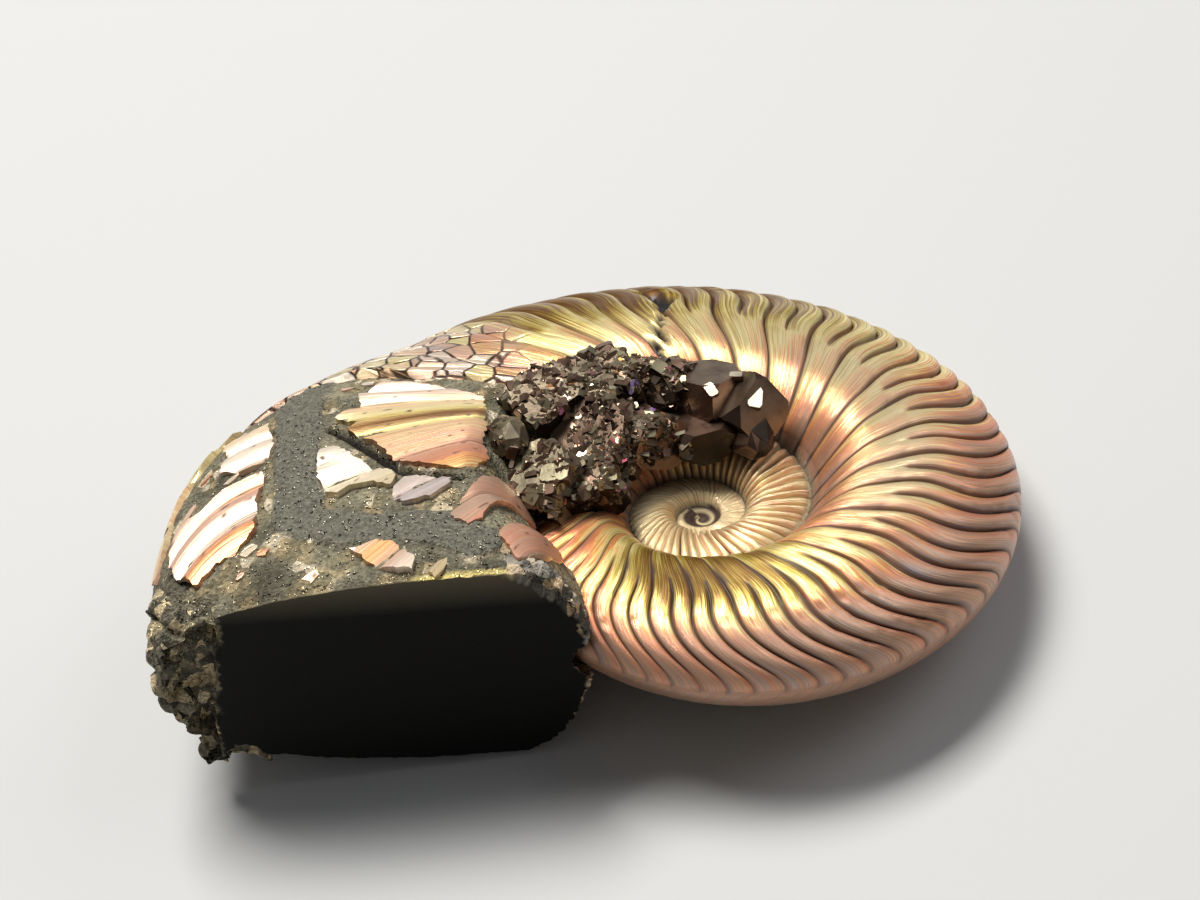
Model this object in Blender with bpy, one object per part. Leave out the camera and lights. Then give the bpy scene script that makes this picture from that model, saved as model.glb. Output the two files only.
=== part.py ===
# Pyritized ammonite lying on its side: a coiled, ribbed nacre shell, the stone
# that fills its broken living chamber, a cluster of pyrite crystals over the
# umbilicus, and the separate flakes of shell still stuck on the stone.
import math
import random
import bpy
import bmesh
from mathutils import Matrix, Vector
from mathutils.bvhtree import BVHTree

# All driving sizes are in millimetres and degrees, measured on the shell's own
# plane, with the coil's axis upright, before the shell is laid on its flank.
MM = 0.001
SHARP_ANGLE = 38.0

# How the specimen lies: the tip of its plane when it rests on the lower flank.
REST_PITCH = -6.4
REST_ROLL = 4.6

# Coil: the outer edge (venter) and the seam where each whorl meets the last one.
VENTER_RADIUS = 22.6
VENTER_GROWTH = 0.1532
VENTER_SLOWING = -0.0060
SEAM_RADIUS = 7.77
SEAM_GROWTH = 0.1259
SEAM_SLOWING = -0.0033
SEAM_HEIGHT = 0.19
OVERLAP = 1.143
INNER_TURN = 160.0
FLARE = ((360.0, 0.0), (420.0, -0.018), (492.0, -0.050), (540.0, 0.098), (600.0, 0.150))
THICKNESS = ((160.0, 0.231), (340.0, 0.248), (440.0, 0.202), (556.0, 0.240), (600.0, 0.216))
CHAMBER_SAG = 0.07
CHAMBER_FROM = 470.0
CHAMBER_FULL = 540.0
SHOULDER = 0.3155
SHOULDER_CHAMBER = 0.185
ROUNDNESS = 2.02
ROUNDNESS_CHAMBER = 2.6

# Ribs: one strong rib every 12 degrees at the inner edge, two at the outer edge.
COLUMN_STEP = 3.0
WHORL_COLUMNS = 120
SWEEP_COLUMNS = 4
SWEEP_INNER = -9.0
SWEEP_SEAM = 3.0
SWEEP_OUTER = 14.0
RIB_OUTER = 0.0105
RIB_INNER = 0.0055
RIB_PROFILE = (-1.0, 0.35, 1.0, 0.35)
RIB_PROFILE_SPLIT = (-1.0, 1.0, -1.0, 1.0)
RIB_SPLIT = (0.30, 0.55)

# Rows of the mesh across one flank, from the seam to the venter.
SEAM_ROW = 3
VENTER_ROW = 9
ROW_SHARES = (0.0, 0.24, 0.58, 1.0)
NOMINAL_SEAM_T = 0.62

FIRST_ANGLE = -219.0
HUB_HEIGHT = 0.07
CORE_SKIP = 4
CORE_COLUMNS = 31
COLUMNS = 243

# Stone fill of the living chamber and the flat face where it was broken off.
STONE_INSET = 0.40
STONE_GAP = 0.60
STONE_LIP = (0.35, 0.45)
STONE_START = 2.0
STONE_STEP = 7.5
STONE_SECTIONS = 18
BROKEN_EDGE = 10.9
BROKEN_EDGE_SLOPE = 0.25
BROKEN_FROM = 560.0
FACE_Y = -13.46
FACE_TURN = 0.023
FACE_LEAN = -0.164

# Lumps of crumbled pyrite at the outer end of the face: x, y, height and size.
RUBBLE = (
    (-34.4, -13.1, 4.9, 1.9), (-35.5, -13.3, 1.9, 2.1), (-35.6, -12.9, -1.3, 2.0),
    (-34.6, -13.1, -4.2, 2.1), (-34.3, -12.6, -7.4, 1.9), (-33.2, -13.9, 1.9, 1.5),
    (-36.2, -10.4, 3.2, 1.8), (-36.0, -9.8, -2.8, 1.8), (-32.6, -14.4, 5.6, 1.4),
)
RUBBLE_POINTS = 12

# Blocks of pyrite grown together over the umbilicus: centre, then half sizes.
BLOCKS = (
    ((-13.3, 1.4, 7.2), (1.7, 1.9, 1.6)), ((-10.6, 5.6, 6.8), (3.1, 2.9, 2.2)),
    ((-6.7, 7.2, 6.6), (3.3, 3.1, 2.5)), ((-2.7, 8.0, 6.2), (3.2, 2.9, 2.3)),
    ((0.8, 6.9, 6.0), (2.9, 2.9, 2.3)), ((3.5, 5.8, 5.2), (2.6, 2.6, 2.5)),
    ((-7.0, 2.9, 5.2), (3.5, 3.2, 2.6)), ((-10.6, -0.6, 4.6), (2.8, 2.9, 2.5)),
    ((-7.6, -0.2, 4.2), (2.7, 2.6, 2.3)), ((-3.8, 4.1, 5.0), (2.9, 2.9, 2.2)),
    ((0.2, 4.7, 4.4), (2.6, 2.5, 1.8)), ((3.9, 4.4, 4.0), (2.0, 2.2, 1.9)),
)
BLOCK_POINTS = 18
DRUSE = 14
DRUSE_SIZE = 0.95
BED_AREA = (-18.0, 9.0, -6.0, 15.0)
BED_STEP = 1.5
BED_GAP = 0.32
BED_REACH = 0.7
BED_FLOOR = -12.0
SKY = 30.0

# Flakes of shell left on the stone: first and last angle of the piece, then the
# shares of the flank between which it runs at its first and at its last angle.
FLAKES = {
    "flake_large_ribbed": (516.0, 555.0, (0.28, 0.67), (0.14, 0.23)),
    "flake_white": (534.0, 555.0, (0.51, 0.58), (0.37, 0.48)),
    "flake_silver": (558.0, 567.0, (0.27, 0.38), (0.26, 0.37)),
    "flake_outer_ribbed": (540.0, 555.0, (0.72, 0.93), (0.72, 0.87)),
    "flake_outer_upper": (522.0, 534.0, (0.79, 0.90), (0.74, 0.84)),
    "flake_edge_sliver": (513.0, 528.0, (0.93, 0.985), (0.95, 0.985)),
    "flake_small_orange": (564.0, 576.0, (0.45, 0.51), (0.38, 0.44)),
    "flake_pink_flap": (561.0, 579.0, (0.04, 0.17), (0.09, 0.22)),
    "flake_brown_pink": (585.0, 594.0, (0.06, 0.20), (0.08, 0.20)),
}
FLAKE_ROWS = 3
FLAKE_GAP = 0.32
FLAKE_THICKNESS = 0.28
FLAKE_RIBS = 0.55
FLAKE_JAG = 0.009


def ease(x):
    x = min(1.0, max(0.0, x))
    return x * x * (3.0 - 2.0 * x)


def knots(table, angle):
    """Smooth value read between the (angle, value) pairs of a short table."""
    if angle <= table[0][0]:
        return table[0][1]
    for (a0, v0), (a1, v1) in zip(table, table[1:]):
        if angle <= a1:
            return v0 + (v1 - v0) * ease((angle - a0) / (a1 - a0))
    return table[-1][1]


def seam_radius(angle):
    u = math.radians(angle - 360.0)
    return SEAM_RADIUS * math.exp(SEAM_GROWTH * u + SEAM_SLOWING * u * u)


def venter_radius(angle):
    if angle < INNER_TURN:
        return OVERLAP * seam_radius(angle + 360.0)
    u = math.radians(angle - 360.0)
    grown = VENTER_GROWTH * u + VENTER_SLOWING * u * u
    return VENTER_RADIUS * math.exp(grown + knots(FLARE, angle))


def half_thickness(angle):
    return knots(THICKNESS, angle) * venter_radius(angle)


def in_chamber(angle):
    return ease((angle - CHAMBER_FROM) / (CHAMBER_FULL - CHAMBER_FROM))


def shoulder(angle):
    return SHOULDER + (SHOULDER_CHAMBER - SHOULDER) * in_chamber(angle)


def flank_height(angle, t, start=None):
    """Height of the flank above the shell's plane at share t from seam to venter."""
    top = half_thickness(angle)
    low = SEAM_HEIGHT * seam_radius(angle) if start is None else start
    bend = shoulder(angle)
    if t < bend:
        return low + (top - low) * math.sin(0.5 * math.pi * t / bend) ** 0.9
    power = ROUNDNESS + (ROUNDNESS_CHAMBER - ROUNDNESS) * in_chamber(angle)
    x = min(1.0, (t - bend) / (1.0 - bend))
    return top * max(0.0, 1.0 - x ** power) ** (1.0 / power)


def seam_share(angle):
    """Share of the flank at which the next whorl will cover this one."""
    inner = seam_radius(angle)
    here = (seam_radius(angle + 360.0) - inner) / (venter_radius(angle) - inner)
    return here + (NOMINAL_SEAM_T - here) * ease((angle - INNER_TURN) / 100.0)


def row_share(angle, row):
    """Share t of a mesh row: even steps to the seam, then even turns to the venter."""
    ts = seam_share(angle)
    if row <= SEAM_ROW:
        return ts * ROW_SHARES[row]
    bend = shoulder(angle)
    a0 = math.asin(max(0.0, (ts - bend) / (1.0 - bend)))
    a = a0 + (0.5 * math.pi - a0) * (row - SEAM_ROW) / (VENTER_ROW - SEAM_ROW)
    return bend + (1.0 - bend) * math.sin(a)


def row_sweep(row):
    """Forward sweep in degrees of the ribs at a mesh row."""
    if row <= SEAM_ROW:
        return SWEEP_INNER + (SWEEP_SEAM - SWEEP_INNER) * ease(ROW_SHARES[row])
    a0 = math.asin((NOMINAL_SEAM_T - SHOULDER) / (1.0 - SHOULDER))
    a = a0 + (0.5 * math.pi - a0) * (row - SEAM_ROW) / (VENTER_ROW - SEAM_ROW)
    return share_sweep(SHOULDER + (1.0 - SHOULDER) * math.sin(a))


def share_sweep(t):
    """Forward sweep in degrees of the ribs at share t of the flank."""
    if t <= NOMINAL_SEAM_T:
        return SWEEP_INNER + (SWEEP_SEAM - SWEEP_INNER) * ease(t / NOMINAL_SEAM_T)
    v = (t - NOMINAL_SEAM_T) / (1.0 - NOMINAL_SEAM_T)
    return SWEEP_SEAM + SWEEP_OUTER * v ** 3


def flank_point(angle, t, lift, start_radius=None, start_height=None):
    """Radius and height of a flank point, lifted along the surface normal."""
    inner = seam_radius(angle) if start_radius is None else start_radius
    outer = venter_radius(angle)
    step = 0.01
    t0 = max(0.0, t - step)
    t1 = min(1.0, t + step)
    h = flank_height(angle, t, start_height)
    dr = (outer - inner) * (t1 - t0)
    dh = flank_height(angle, t1, start_height) - flank_height(angle, t0, start_height)
    size = math.hypot(dr, dh)
    if t >= 0.9999:
        return inner + (outer - inner) * t + lift, 0.0
    return inner + (outer - inner) * t - lift * dh / size, h + lift * dr / size


def polar(angle, radius, height, side):
    a = math.radians(angle)
    return Vector((radius * math.cos(a), radius * math.sin(a), height * side))


def rib_height(column, angle, t, seam_faded):
    """Ribs stand on whole columns: ridge and groove columns take turns."""
    primary = RIB_PROFILE[column % 4]
    secondary = RIB_PROFILE_SPLIT[column % 4]
    split = ease((t - RIB_SPLIT[0]) / (RIB_SPLIT[1] - RIB_SPLIT[0]))
    size = venter_radius(angle)
    high = RIB_INNER * primary * (1.0 - split) + RIB_OUTER * secondary * split
    fade = ease(t / 0.12)
    if seam_faded:
        fade *= ease((1.0 - t / seam_share(angle)) / 0.15)
    fade *= 1.0 - 0.55 * ease((t - 0.93) / 0.07)
    return high * size * fade


def coil_vertex(column, row, side):
    sweep = row_sweep(row)
    angle = FIRST_ANGLE + COLUMN_STEP * column + sweep
    t = row_share(angle, row)
    covered = column < COLUMNS - WHORL_COLUMNS - SWEEP_COLUMNS
    lift = rib_height(column, angle, t, covered or row == 0)
    radius, height = flank_point(angle, t, lift)
    on_seam = row == 0 or (row == SEAM_ROW and column <= COLUMNS - WHORL_COLUMNS - SWEEP_COLUMNS)
    if on_seam:
        seam_angle = angle if row == 0 else angle + 360.0
        radius = seam_radius(seam_angle)
        height = SEAM_HEIGHT * radius
    return polar(angle, radius, height, side)


def make_object(name, bm, material):
    mesh = bpy.data.meshes.new(name)
    bm.normal_update()
    bm.to_mesh(mesh)
    bm.free()
    obj = bpy.data.objects.new(name, mesh)
    bpy.context.scene.collection.objects.link(obj)
    mesh.materials.append(material)
    return obj


def shade_round(obj):
    """Smooth shading that keeps broken edges and corners sharp."""
    obj.data.shade_smooth()
    obj.data.set_sharp_from_angle(angle=math.radians(SHARP_ANGLE))


def make_material(name, colour, roughness, metallic):
    mat = bpy.data.materials.new(name)
    mat.use_nodes = True
    bsdf = mat.node_tree.nodes["Principled BSDF"]
    bsdf.inputs["Base Color"].default_value = (*colour, 1.0)
    bsdf.inputs["Roughness"].default_value = roughness
    bsdf.inputs["Metallic"].default_value = metallic
    mat.diffuse_color = (*colour, 1.0)
    return mat


def zip_chains(bm, outer, inner):
    """Triangles between two rows of points that share both their ends."""
    i, j = 0, 0
    while i < len(outer) - 1 or j < len(inner) - 1:
        step_outer = j == len(inner) - 1
        if not step_outer and i < len(outer) - 1:
            step_outer = (i + 1) * (len(inner) - 1) <= (j + 1) * (len(outer) - 1)
        third = outer[i + 1] if step_outer else inner[j + 1]
        corner = (outer[i], third, inner[j])
        if len(set(corner)) == 3:
            bm.faces.new(corner)
        if step_outer:
            i += 1
        else:
            j += 1


def close_hub(bm, core, side):
    """Shallow dish over the first tiny whorl, in to a point on the coil's axis."""
    centre = bm.verts.new(Vector((0.0, 0.0, HUB_HEIGHT * side)) * MM)
    turned = CORE_COLUMNS - SWEEP_COLUMNS // CORE_SKIP - 1
    for column in range(turned):
        bm.faces.new((centre, core(column, 0, side), core(column + 1, 0, side)))
    bm.faces.new((centre, core(turned, 0, side), core(0, 0, side)))
    rim = [core(column, 0, side) for column in range(turned, CORE_COLUMNS + 1)]
    start = [core(0, row, side) for row in range(SEAM_ROW + 1)]
    zip_chains(bm, rim, start)


def build_core(bm, vertex, side):
    """Innermost visible whorl, with one column for every four of the ribbed coil."""
    made = {}

    def core(column, row, side):
        if row == SEAM_ROW:
            return vertex(CORE_SKIP * column, 0, side)
        if column == CORE_COLUMNS:
            return vertex(0, row, side)
        key = (column, row)
        if key not in made:
            place = CORE_SKIP * (column - CORE_COLUMNS)
            made[key] = bm.verts.new(coil_vertex(place, row, side) * MM)
        return made[key]

    for column in range(CORE_COLUMNS):
        for row in range(SEAM_ROW - 1):
            bm.faces.new((core(column, row, side), core(column, row + 1, side),
                          core(column + 1, row + 1, side), core(column + 1, row, side)))
        fine = [vertex(CORE_SKIP * column + k, 0, side) for k in range(CORE_SKIP + 1)]
        near = [core(column, SEAM_ROW - 1, side), core(column + 1, SEAM_ROW - 1, side)]
        zip_chains(bm, fine, near)
    close_hub(bm, core, side)


def build_coil(material):
    bm = bmesh.new()
    share = WHORL_COLUMNS + SWEEP_COLUMNS
    first_full = COLUMNS - share
    grid = {}

    def vertex(column, row, side):
        if row == VENTER_ROW:
            side = 1
        if row == 0 and column >= share:
            column, row = column - share, SEAM_ROW
        key = (column, row, side)
        if key not in grid:
            grid[key] = bm.verts.new(coil_vertex(column, row, side) * MM)
        return grid[key]

    for side in (1, -1):
        for column in range(COLUMNS):
            last_row = VENTER_ROW if column >= first_full else SEAM_ROW
            for row in range(last_row):
                quad = [vertex(column, row, side), vertex(column, row + 1, side),
                        vertex(column + 1, row + 1, side), vertex(column + 1, row, side)]
                if side < 0:
                    quad.reverse()
                bm.faces.new(quad)
        build_core(bm, vertex, side)
    outer = [vertex(COLUMNS, row, 1) for row in range(VENTER_ROW + 1)]
    outer += [vertex(COLUMNS, row, -1) for row in range(VENTER_ROW - 1, -1, -1)]
    inner = [vertex(first_full, row, 1) for row in range(SEAM_ROW, VENTER_ROW + 1)]
    inner += [vertex(first_full, row, -1) for row in range(VENTER_ROW - 1, SEAM_ROW - 1, -1)]
    zip_chains(bm, outer, inner)
    bmesh.ops.triangulate(bm, faces=bm.faces[:])
    bmesh.ops.recalc_face_normals(bm, faces=bm.faces[:])
    coil = make_object("nacre_shell_coil", bm, material)
    shade_round(coil)
    return coil


def chamber_start(angle):
    """Radius at which the chamber leaves the whorl before it, and its height there."""
    a = math.radians(angle)
    along = math.cos(a) + BROKEN_EDGE_SLOPE * math.sin(a)
    radius = seam_radius(angle)
    if angle > BROKEN_FROM and along < -0.05:
        radius = max(radius, BROKEN_EDGE / -along)
    previous = angle - 360.0
    t = (radius - seam_radius(previous)) / (venter_radius(previous) - seam_radius(previous))
    if t >= 1.0:
        return radius, 0.3, 1.0
    return radius, flank_height(previous, t), t


def stone_section(angle):
    """One closed ring of the stone: out over the flanks, back along the older whorl."""
    ring = []
    upper = []
    for row in range(VENTER_ROW + 1):
        here = angle + row_sweep(row)
        radius0, height0, _ = chamber_start(here)
        t = row_share(here, row)
        radius, height = flank_point(here, t, -STONE_INSET, radius0, height0)
        if row == 0:
            radius, height = radius0 + STONE_LIP[0], height0 + STONE_LIP[1]
        upper.append((here, radius, height))
    ring += [polar(a, r, h, 1) for a, r, h in upper]
    for a, r, h in reversed(upper[:-1]):
        ring.append(polar(a, r, h * (1.0 + CHAMBER_SAG * in_chamber(a)), -1))
    dorsal = []
    steps = VENTER_ROW - SEAM_ROW
    for k in range(1, steps + 1):
        share = k / steps
        here = angle + SWEEP_INNER + share * (row_sweep(VENTER_ROW) - SWEEP_SEAM)
        radius0, height0, t0 = chamber_start(here)
        previous = here - 360.0
        bend = shoulder(previous)
        a0 = math.asin(min(1.0, max(0.0, (t0 - bend) / (1.0 - bend))))
        t = bend + (1.0 - bend) * math.sin(a0 + (0.5 * math.pi - a0) * share)
        radius, height = flank_point(previous, min(t, 1.0), STONE_GAP)
        if t0 >= 1.0:
            height = height0 * (1.0 - share)
        dorsal.append((here, max(radius, radius0 + 0.2), height))
    ring += [polar(a, r, h, -1) for a, r, h in dorsal]
    ring += [polar(a, r, h, 1) for a, r, h in reversed(dorsal[:-1])]
    return ring


def build_stone(material):
    bm = bmesh.new()
    rings = []
    first = FIRST_ANGLE + COLUMN_STEP * COLUMNS + STONE_START
    for k in range(STONE_SECTIONS + 1):
        section = stone_section(first + STONE_STEP * k)
        rings.append([bm.verts.new(point * MM) for point in section])
    count = len(rings[0])
    for a, b in zip(rings, rings[1:]):
        for i in range(count):
            j = (i + 1) % count
            bm.faces.new((a[i], a[j], b[j], b[i]))
    turn = 2 * VENTER_ROW
    for ring in (rings[0], rings[-1]):
        outer = ring[:turn + 1]
        inner = [ring[0]] + ring[:turn:-1] + [ring[turn]]
        zip_chains(bm, outer, inner)
    bmesh.ops.triangulate(bm, faces=bm.faces[:])
    bmesh.ops.recalc_face_normals(bm, faces=bm.faces[:])
    stone = make_object("chamber_stone", bm, material)
    chooser = random.Random(7)
    for x, y, height, size in RUBBLE:
        lump = block((x, y, height), (size, size * 0.9, size), chooser, RUBBLE_POINTS, material)
        combine(stone, lump, 'UNION')
    cut_face(stone)
    shade_round(stone)
    return stone


def cut_face(stone):
    """Cut the stone flat where the rest of the living chamber broke away."""
    bm = bmesh.new()
    bm.from_mesh(stone.data)
    point = Vector((0.0, FACE_Y * MM, 0.0))
    normal = Vector((FACE_TURN, -1.0, FACE_LEAN)).normalized()
    geometry = bm.verts[:] + bm.edges[:] + bm.faces[:]
    cut = bmesh.ops.bisect_plane(bm, geom=geometry, plane_co=point, plane_no=normal,
                                 clear_outer=True, dist=1e-7)
    edges = [g for g in cut["geom_cut"] if isinstance(g, bmesh.types.BMEdge)]
    bmesh.ops.holes_fill(bm, edges=edges, sides=0)
    bmesh.ops.triangulate(bm, faces=bm.faces[:])
    bmesh.ops.recalc_face_normals(bm, faces=bm.faces[:])
    bm.to_mesh(stone.data)
    bm.free()


def block(centre, sizes, chooser, count, material):
    """Flat-faced lump: the hull of points spread evenly round a stretched ball."""
    bm = bmesh.new()
    turn = chooser.uniform(0.0, 2.0 * math.pi)
    for k in range(count):
        z = 1.0 - 2.0 * (k + 0.5) / count
        a = turn + 2.4 * k + chooser.uniform(-0.25, 0.25)
        ring = math.sqrt(1.0 - z * z)
        reach = chooser.uniform(0.86, 1.08)
        spot = Vector((ring * math.cos(a) * sizes[0], ring * math.sin(a) * sizes[1], z * sizes[2]))
        bm.verts.new((Vector(centre) + spot * reach) * MM)
    hull = bmesh.ops.convex_hull(bm, input=bm.verts[:])
    spare = {g for g in hull["geom_interior"] + hull["geom_unused"]
             if isinstance(g, bmesh.types.BMVert)}
    bmesh.ops.delete(bm, geom=list(spare), context='VERTS')
    bmesh.ops.recalc_face_normals(bm, faces=bm.faces[:])
    return make_object("block", bm, material)


def combine(target, other, operation):
    """Join or cut with another solid, which is used up."""
    modifier = target.modifiers.new("join", 'BOOLEAN')
    modifier.operation = operation
    modifier.solver = 'EXACT'
    modifier.object = other
    graph = bpy.context.evaluated_depsgraph_get()
    result = bpy.data.meshes.new_from_object(target.evaluated_get(graph), depsgraph=graph)
    target.modifiers.clear()
    target.data = result
    bpy.data.objects.remove(other, do_unlink=True)


def bed_height(x, y, trees):
    """Highest point of the shell and stone close to a spot, plus the gap."""
    best = BED_FLOOR
    for dx in (-BED_REACH, 0.0, BED_REACH):
        for dy in (-BED_REACH, 0.0, BED_REACH):
            top = Vector((x + dx, y + dy, SKY)) * MM
            for tree in trees:
                spot = tree.ray_cast(top, Vector((0.0, 0.0, -1.0)))[0]
                if spot is not None:
                    best = max(best, spot.z / MM)
    return best + BED_GAP


def build_bed(rests_on, material):
    """Solid under the crystals whose top follows the shell and the stone."""
    trees = []
    for piece in rests_on:
        source = bmesh.new()
        source.from_mesh(piece.data)
        trees.append(BVHTree.FromBMesh(source))
        source.free()
    x_low, x_high, y_low, y_high = BED_AREA
    columns = round((x_high - x_low) / BED_STEP)
    rows = round((y_high - y_low) / BED_STEP)
    bm = bmesh.new()
    top, floor = {}, {}
    for i in range(columns + 1):
        for j in range(rows + 1):
            x, y = x_low + i * BED_STEP, y_low + j * BED_STEP
            top[i, j] = bm.verts.new(Vector((x, y, bed_height(x, y, trees))) * MM)
            floor[i, j] = bm.verts.new(Vector((x, y, BED_FLOOR - BED_GAP)) * MM)
    for i in range(columns):
        for j in range(rows):
            bm.faces.new((top[i, j], top[i + 1, j], top[i + 1, j + 1], top[i, j + 1]))
            bm.faces.new((floor[i, j], floor[i, j + 1], floor[i + 1, j + 1], floor[i + 1, j]))
    for i in range(columns):
        for j in (0, rows):
            bm.faces.new((top[i, j], top[i + 1, j], floor[i + 1, j], floor[i, j]))
    for j in range(rows):
        for i in (0, columns):
            bm.faces.new((top[i, j], top[i, j + 1], floor[i, j + 1], floor[i, j]))
    bmesh.ops.triangulate(bm, faces=bm.faces[:])
    bmesh.ops.recalc_face_normals(bm, faces=bm.faces[:])
    return make_object("bed", bm, material)


def build_crystals(material, rests_on):
    """Blocks of pyrite with small crystals on their upper faces, joined in one."""
    chooser = random.Random(23)
    cluster = None
    for centre, sizes in BLOCKS:
        lump = block(centre, sizes, chooser, BLOCK_POINTS, material)
        if cluster is None:
            cluster = lump
        else:
            combine(cluster, lump, 'UNION')
    for _ in range(DRUSE):
        centre, sizes = BLOCKS[chooser.randrange(1, len(BLOCKS) - 1)]
        a = chooser.uniform(0.0, 2.0 * math.pi)
        z = chooser.uniform(0.35, 0.9)
        ring = math.sqrt(1.0 - z * z)
        out = Vector((ring * math.cos(a) * sizes[0], ring * math.sin(a) * sizes[1], z * sizes[2]))
        size = DRUSE_SIZE * chooser.uniform(0.6, 1.15)
        grain = block(Vector(centre) + out * 0.96, (size, size, size), chooser, 7, material)
        combine(cluster, grain, 'UNION')
    combine(cluster, build_bed(rests_on, material), 'DIFFERENCE')
    cluster.name = "pyrite_crystals"
    cluster.data.name = "pyrite_crystals"
    return keep_largest(cluster)


def keep_largest(obj):
    """Drop crumbs cut loose from the main body, and leave only triangles."""
    bm = bmesh.new()
    bm.from_mesh(obj.data)
    left = set(bm.verts)
    bodies = []
    while left:
        queue = [left.pop()]
        body = set(queue)
        while queue:
            for edge in queue.pop().link_edges:
                for vert in edge.verts:
                    if vert not in body:
                        body.add(vert)
                        queue.append(vert)
        left -= body
        bodies.append(body)
    bodies.sort(key=len)
    crumbs = [vert for body in bodies[:-1] for vert in body]
    bmesh.ops.delete(bm, geom=crumbs, context='VERTS')
    bmesh.ops.triangulate(bm, faces=bm.faces[:])
    bm.to_mesh(obj.data)
    bm.free()
    return obj


def build_flake(name, material):
    """Curved plate of shell lying on the stone, broken off along its ribs."""
    first, last, span_first, span_last = FLAKES[name]
    chooser = random.Random(name)
    columns = round((last - first) / COLUMN_STEP)
    bm = bmesh.new()
    low, high = [], []
    for i in range(columns + 1):
        share = i / columns
        base = first + COLUMN_STEP * i
        column = round((base - FIRST_ANGLE) / COLUMN_STEP)
        start = span_first[0] + (span_last[0] - span_first[0]) * share
        end = span_first[1] + (span_last[1] - span_first[1]) * share
        start += chooser.uniform(-FLAKE_JAG, FLAKE_JAG)
        end += chooser.uniform(-FLAKE_JAG, FLAKE_JAG) * (end < 0.95)
        low_row, high_row = [], []
        for j in range(FLAKE_ROWS + 1):
            t = start + (end - start) * j / FLAKE_ROWS
            here = base + share_sweep(t)
            radius0, height0, _ = chamber_start(here)
            under = FLAKE_GAP - STONE_INSET
            rib = rib_height(column, here, t, False) * FLAKE_RIBS
            over = under + FLAKE_THICKNESS + rib
            for lift, row in ((under, low_row), (over, high_row)):
                radius, height = flank_point(here, t, lift, radius0, height0)
                row.append(bm.verts.new(polar(here, radius, height, 1) * MM))
        low.append(low_row)
        high.append(high_row)
    for i in range(columns):
        for j in range(FLAKE_ROWS):
            bm.faces.new((high[i][j], high[i][j + 1], high[i + 1][j + 1], high[i + 1][j]))
            bm.faces.new((low[i][j], low[i + 1][j], low[i + 1][j + 1], low[i][j + 1]))
        for j in (0, FLAKE_ROWS):
            bm.faces.new((low[i][j], low[i + 1][j], high[i + 1][j], high[i][j]))
    for j in range(FLAKE_ROWS):
        for i in (0, columns):
            bm.faces.new((low[i][j], low[i][j + 1], high[i][j + 1], high[i][j]))
    bmesh.ops.triangulate(bm, faces=bm.faces[:])
    bmesh.ops.recalc_face_normals(bm, faces=bm.faces[:])
    flake = make_object(name, bm, material)
    shade_round(flake)
    return flake


for old in list(bpy.data.objects):
    bpy.data.objects.remove(old, do_unlink=True)

NACRE = make_material("nacre", (0.52, 0.33, 0.25), 0.28, 0.6)
STONE = make_material("pyritic_stone", (0.055, 0.052, 0.048), 0.62, 0.1)
PYRITE = make_material("pyrite", (0.085, 0.068, 0.055), 0.24, 0.85)
NACRE_FLAKE = make_material("nacre_flake", (0.62, 0.45, 0.38), 0.3, 0.5)

coil = build_coil(NACRE)
stone = build_stone(STONE)
pieces = [coil, stone, build_crystals(PYRITE, (coil, stone))]
pieces += [build_flake(name, NACRE_FLAKE) for name in FLAKES]

# Lay the shell on its flank the way it rests, and stand it on the origin.
laid = Matrix.Rotation(math.radians(REST_PITCH), 4, 'X') @ Matrix.Rotation(math.radians(REST_ROLL), 4, 'Y')
points = [laid @ v.co for piece in pieces for v in piece.data.vertices]
low = Vector([min(p[k] for p in points) for k in range(3)])
high = Vector([max(p[k] for p in points) for k in range(3)])
placing = Matrix.Translation((-(low.x + high.x) / 2, -(low.y + high.y) / 2, -low.z)) @ laid
for piece in pieces:
    piece.data.transform(placing)
    piece.data.update()
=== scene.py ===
import math
import random
import bmesh
import bpy
import numpy as np
from mathutils import Matrix, Vector, geometry, noise
from mathutils.bvhtree import BVHTree


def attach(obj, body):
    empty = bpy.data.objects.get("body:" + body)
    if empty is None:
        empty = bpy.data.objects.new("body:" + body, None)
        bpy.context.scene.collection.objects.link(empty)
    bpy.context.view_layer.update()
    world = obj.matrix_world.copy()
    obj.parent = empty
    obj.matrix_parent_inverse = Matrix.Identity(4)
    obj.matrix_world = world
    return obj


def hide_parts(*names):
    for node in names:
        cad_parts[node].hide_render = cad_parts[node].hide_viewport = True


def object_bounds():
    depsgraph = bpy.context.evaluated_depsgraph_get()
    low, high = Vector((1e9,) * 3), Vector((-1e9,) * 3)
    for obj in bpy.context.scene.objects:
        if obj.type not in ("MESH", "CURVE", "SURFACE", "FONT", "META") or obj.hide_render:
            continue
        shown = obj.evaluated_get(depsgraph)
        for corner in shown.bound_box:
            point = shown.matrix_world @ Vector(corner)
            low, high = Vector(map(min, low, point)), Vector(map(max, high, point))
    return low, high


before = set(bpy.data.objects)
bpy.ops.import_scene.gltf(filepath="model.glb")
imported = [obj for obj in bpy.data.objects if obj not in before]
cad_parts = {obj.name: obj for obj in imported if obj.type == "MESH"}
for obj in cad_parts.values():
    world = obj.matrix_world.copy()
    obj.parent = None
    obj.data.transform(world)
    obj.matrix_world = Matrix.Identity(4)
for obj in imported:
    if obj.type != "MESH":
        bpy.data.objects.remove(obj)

cad_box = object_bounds()


# The coiled shell: mother-of-pearl laid down by the animal, grown in one piece from
# the middle outwards and stiffened by the pyrite that filled it. Strong ribs cross
# each flank, and its surface shimmers from gold through orange to copper pink.

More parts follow.
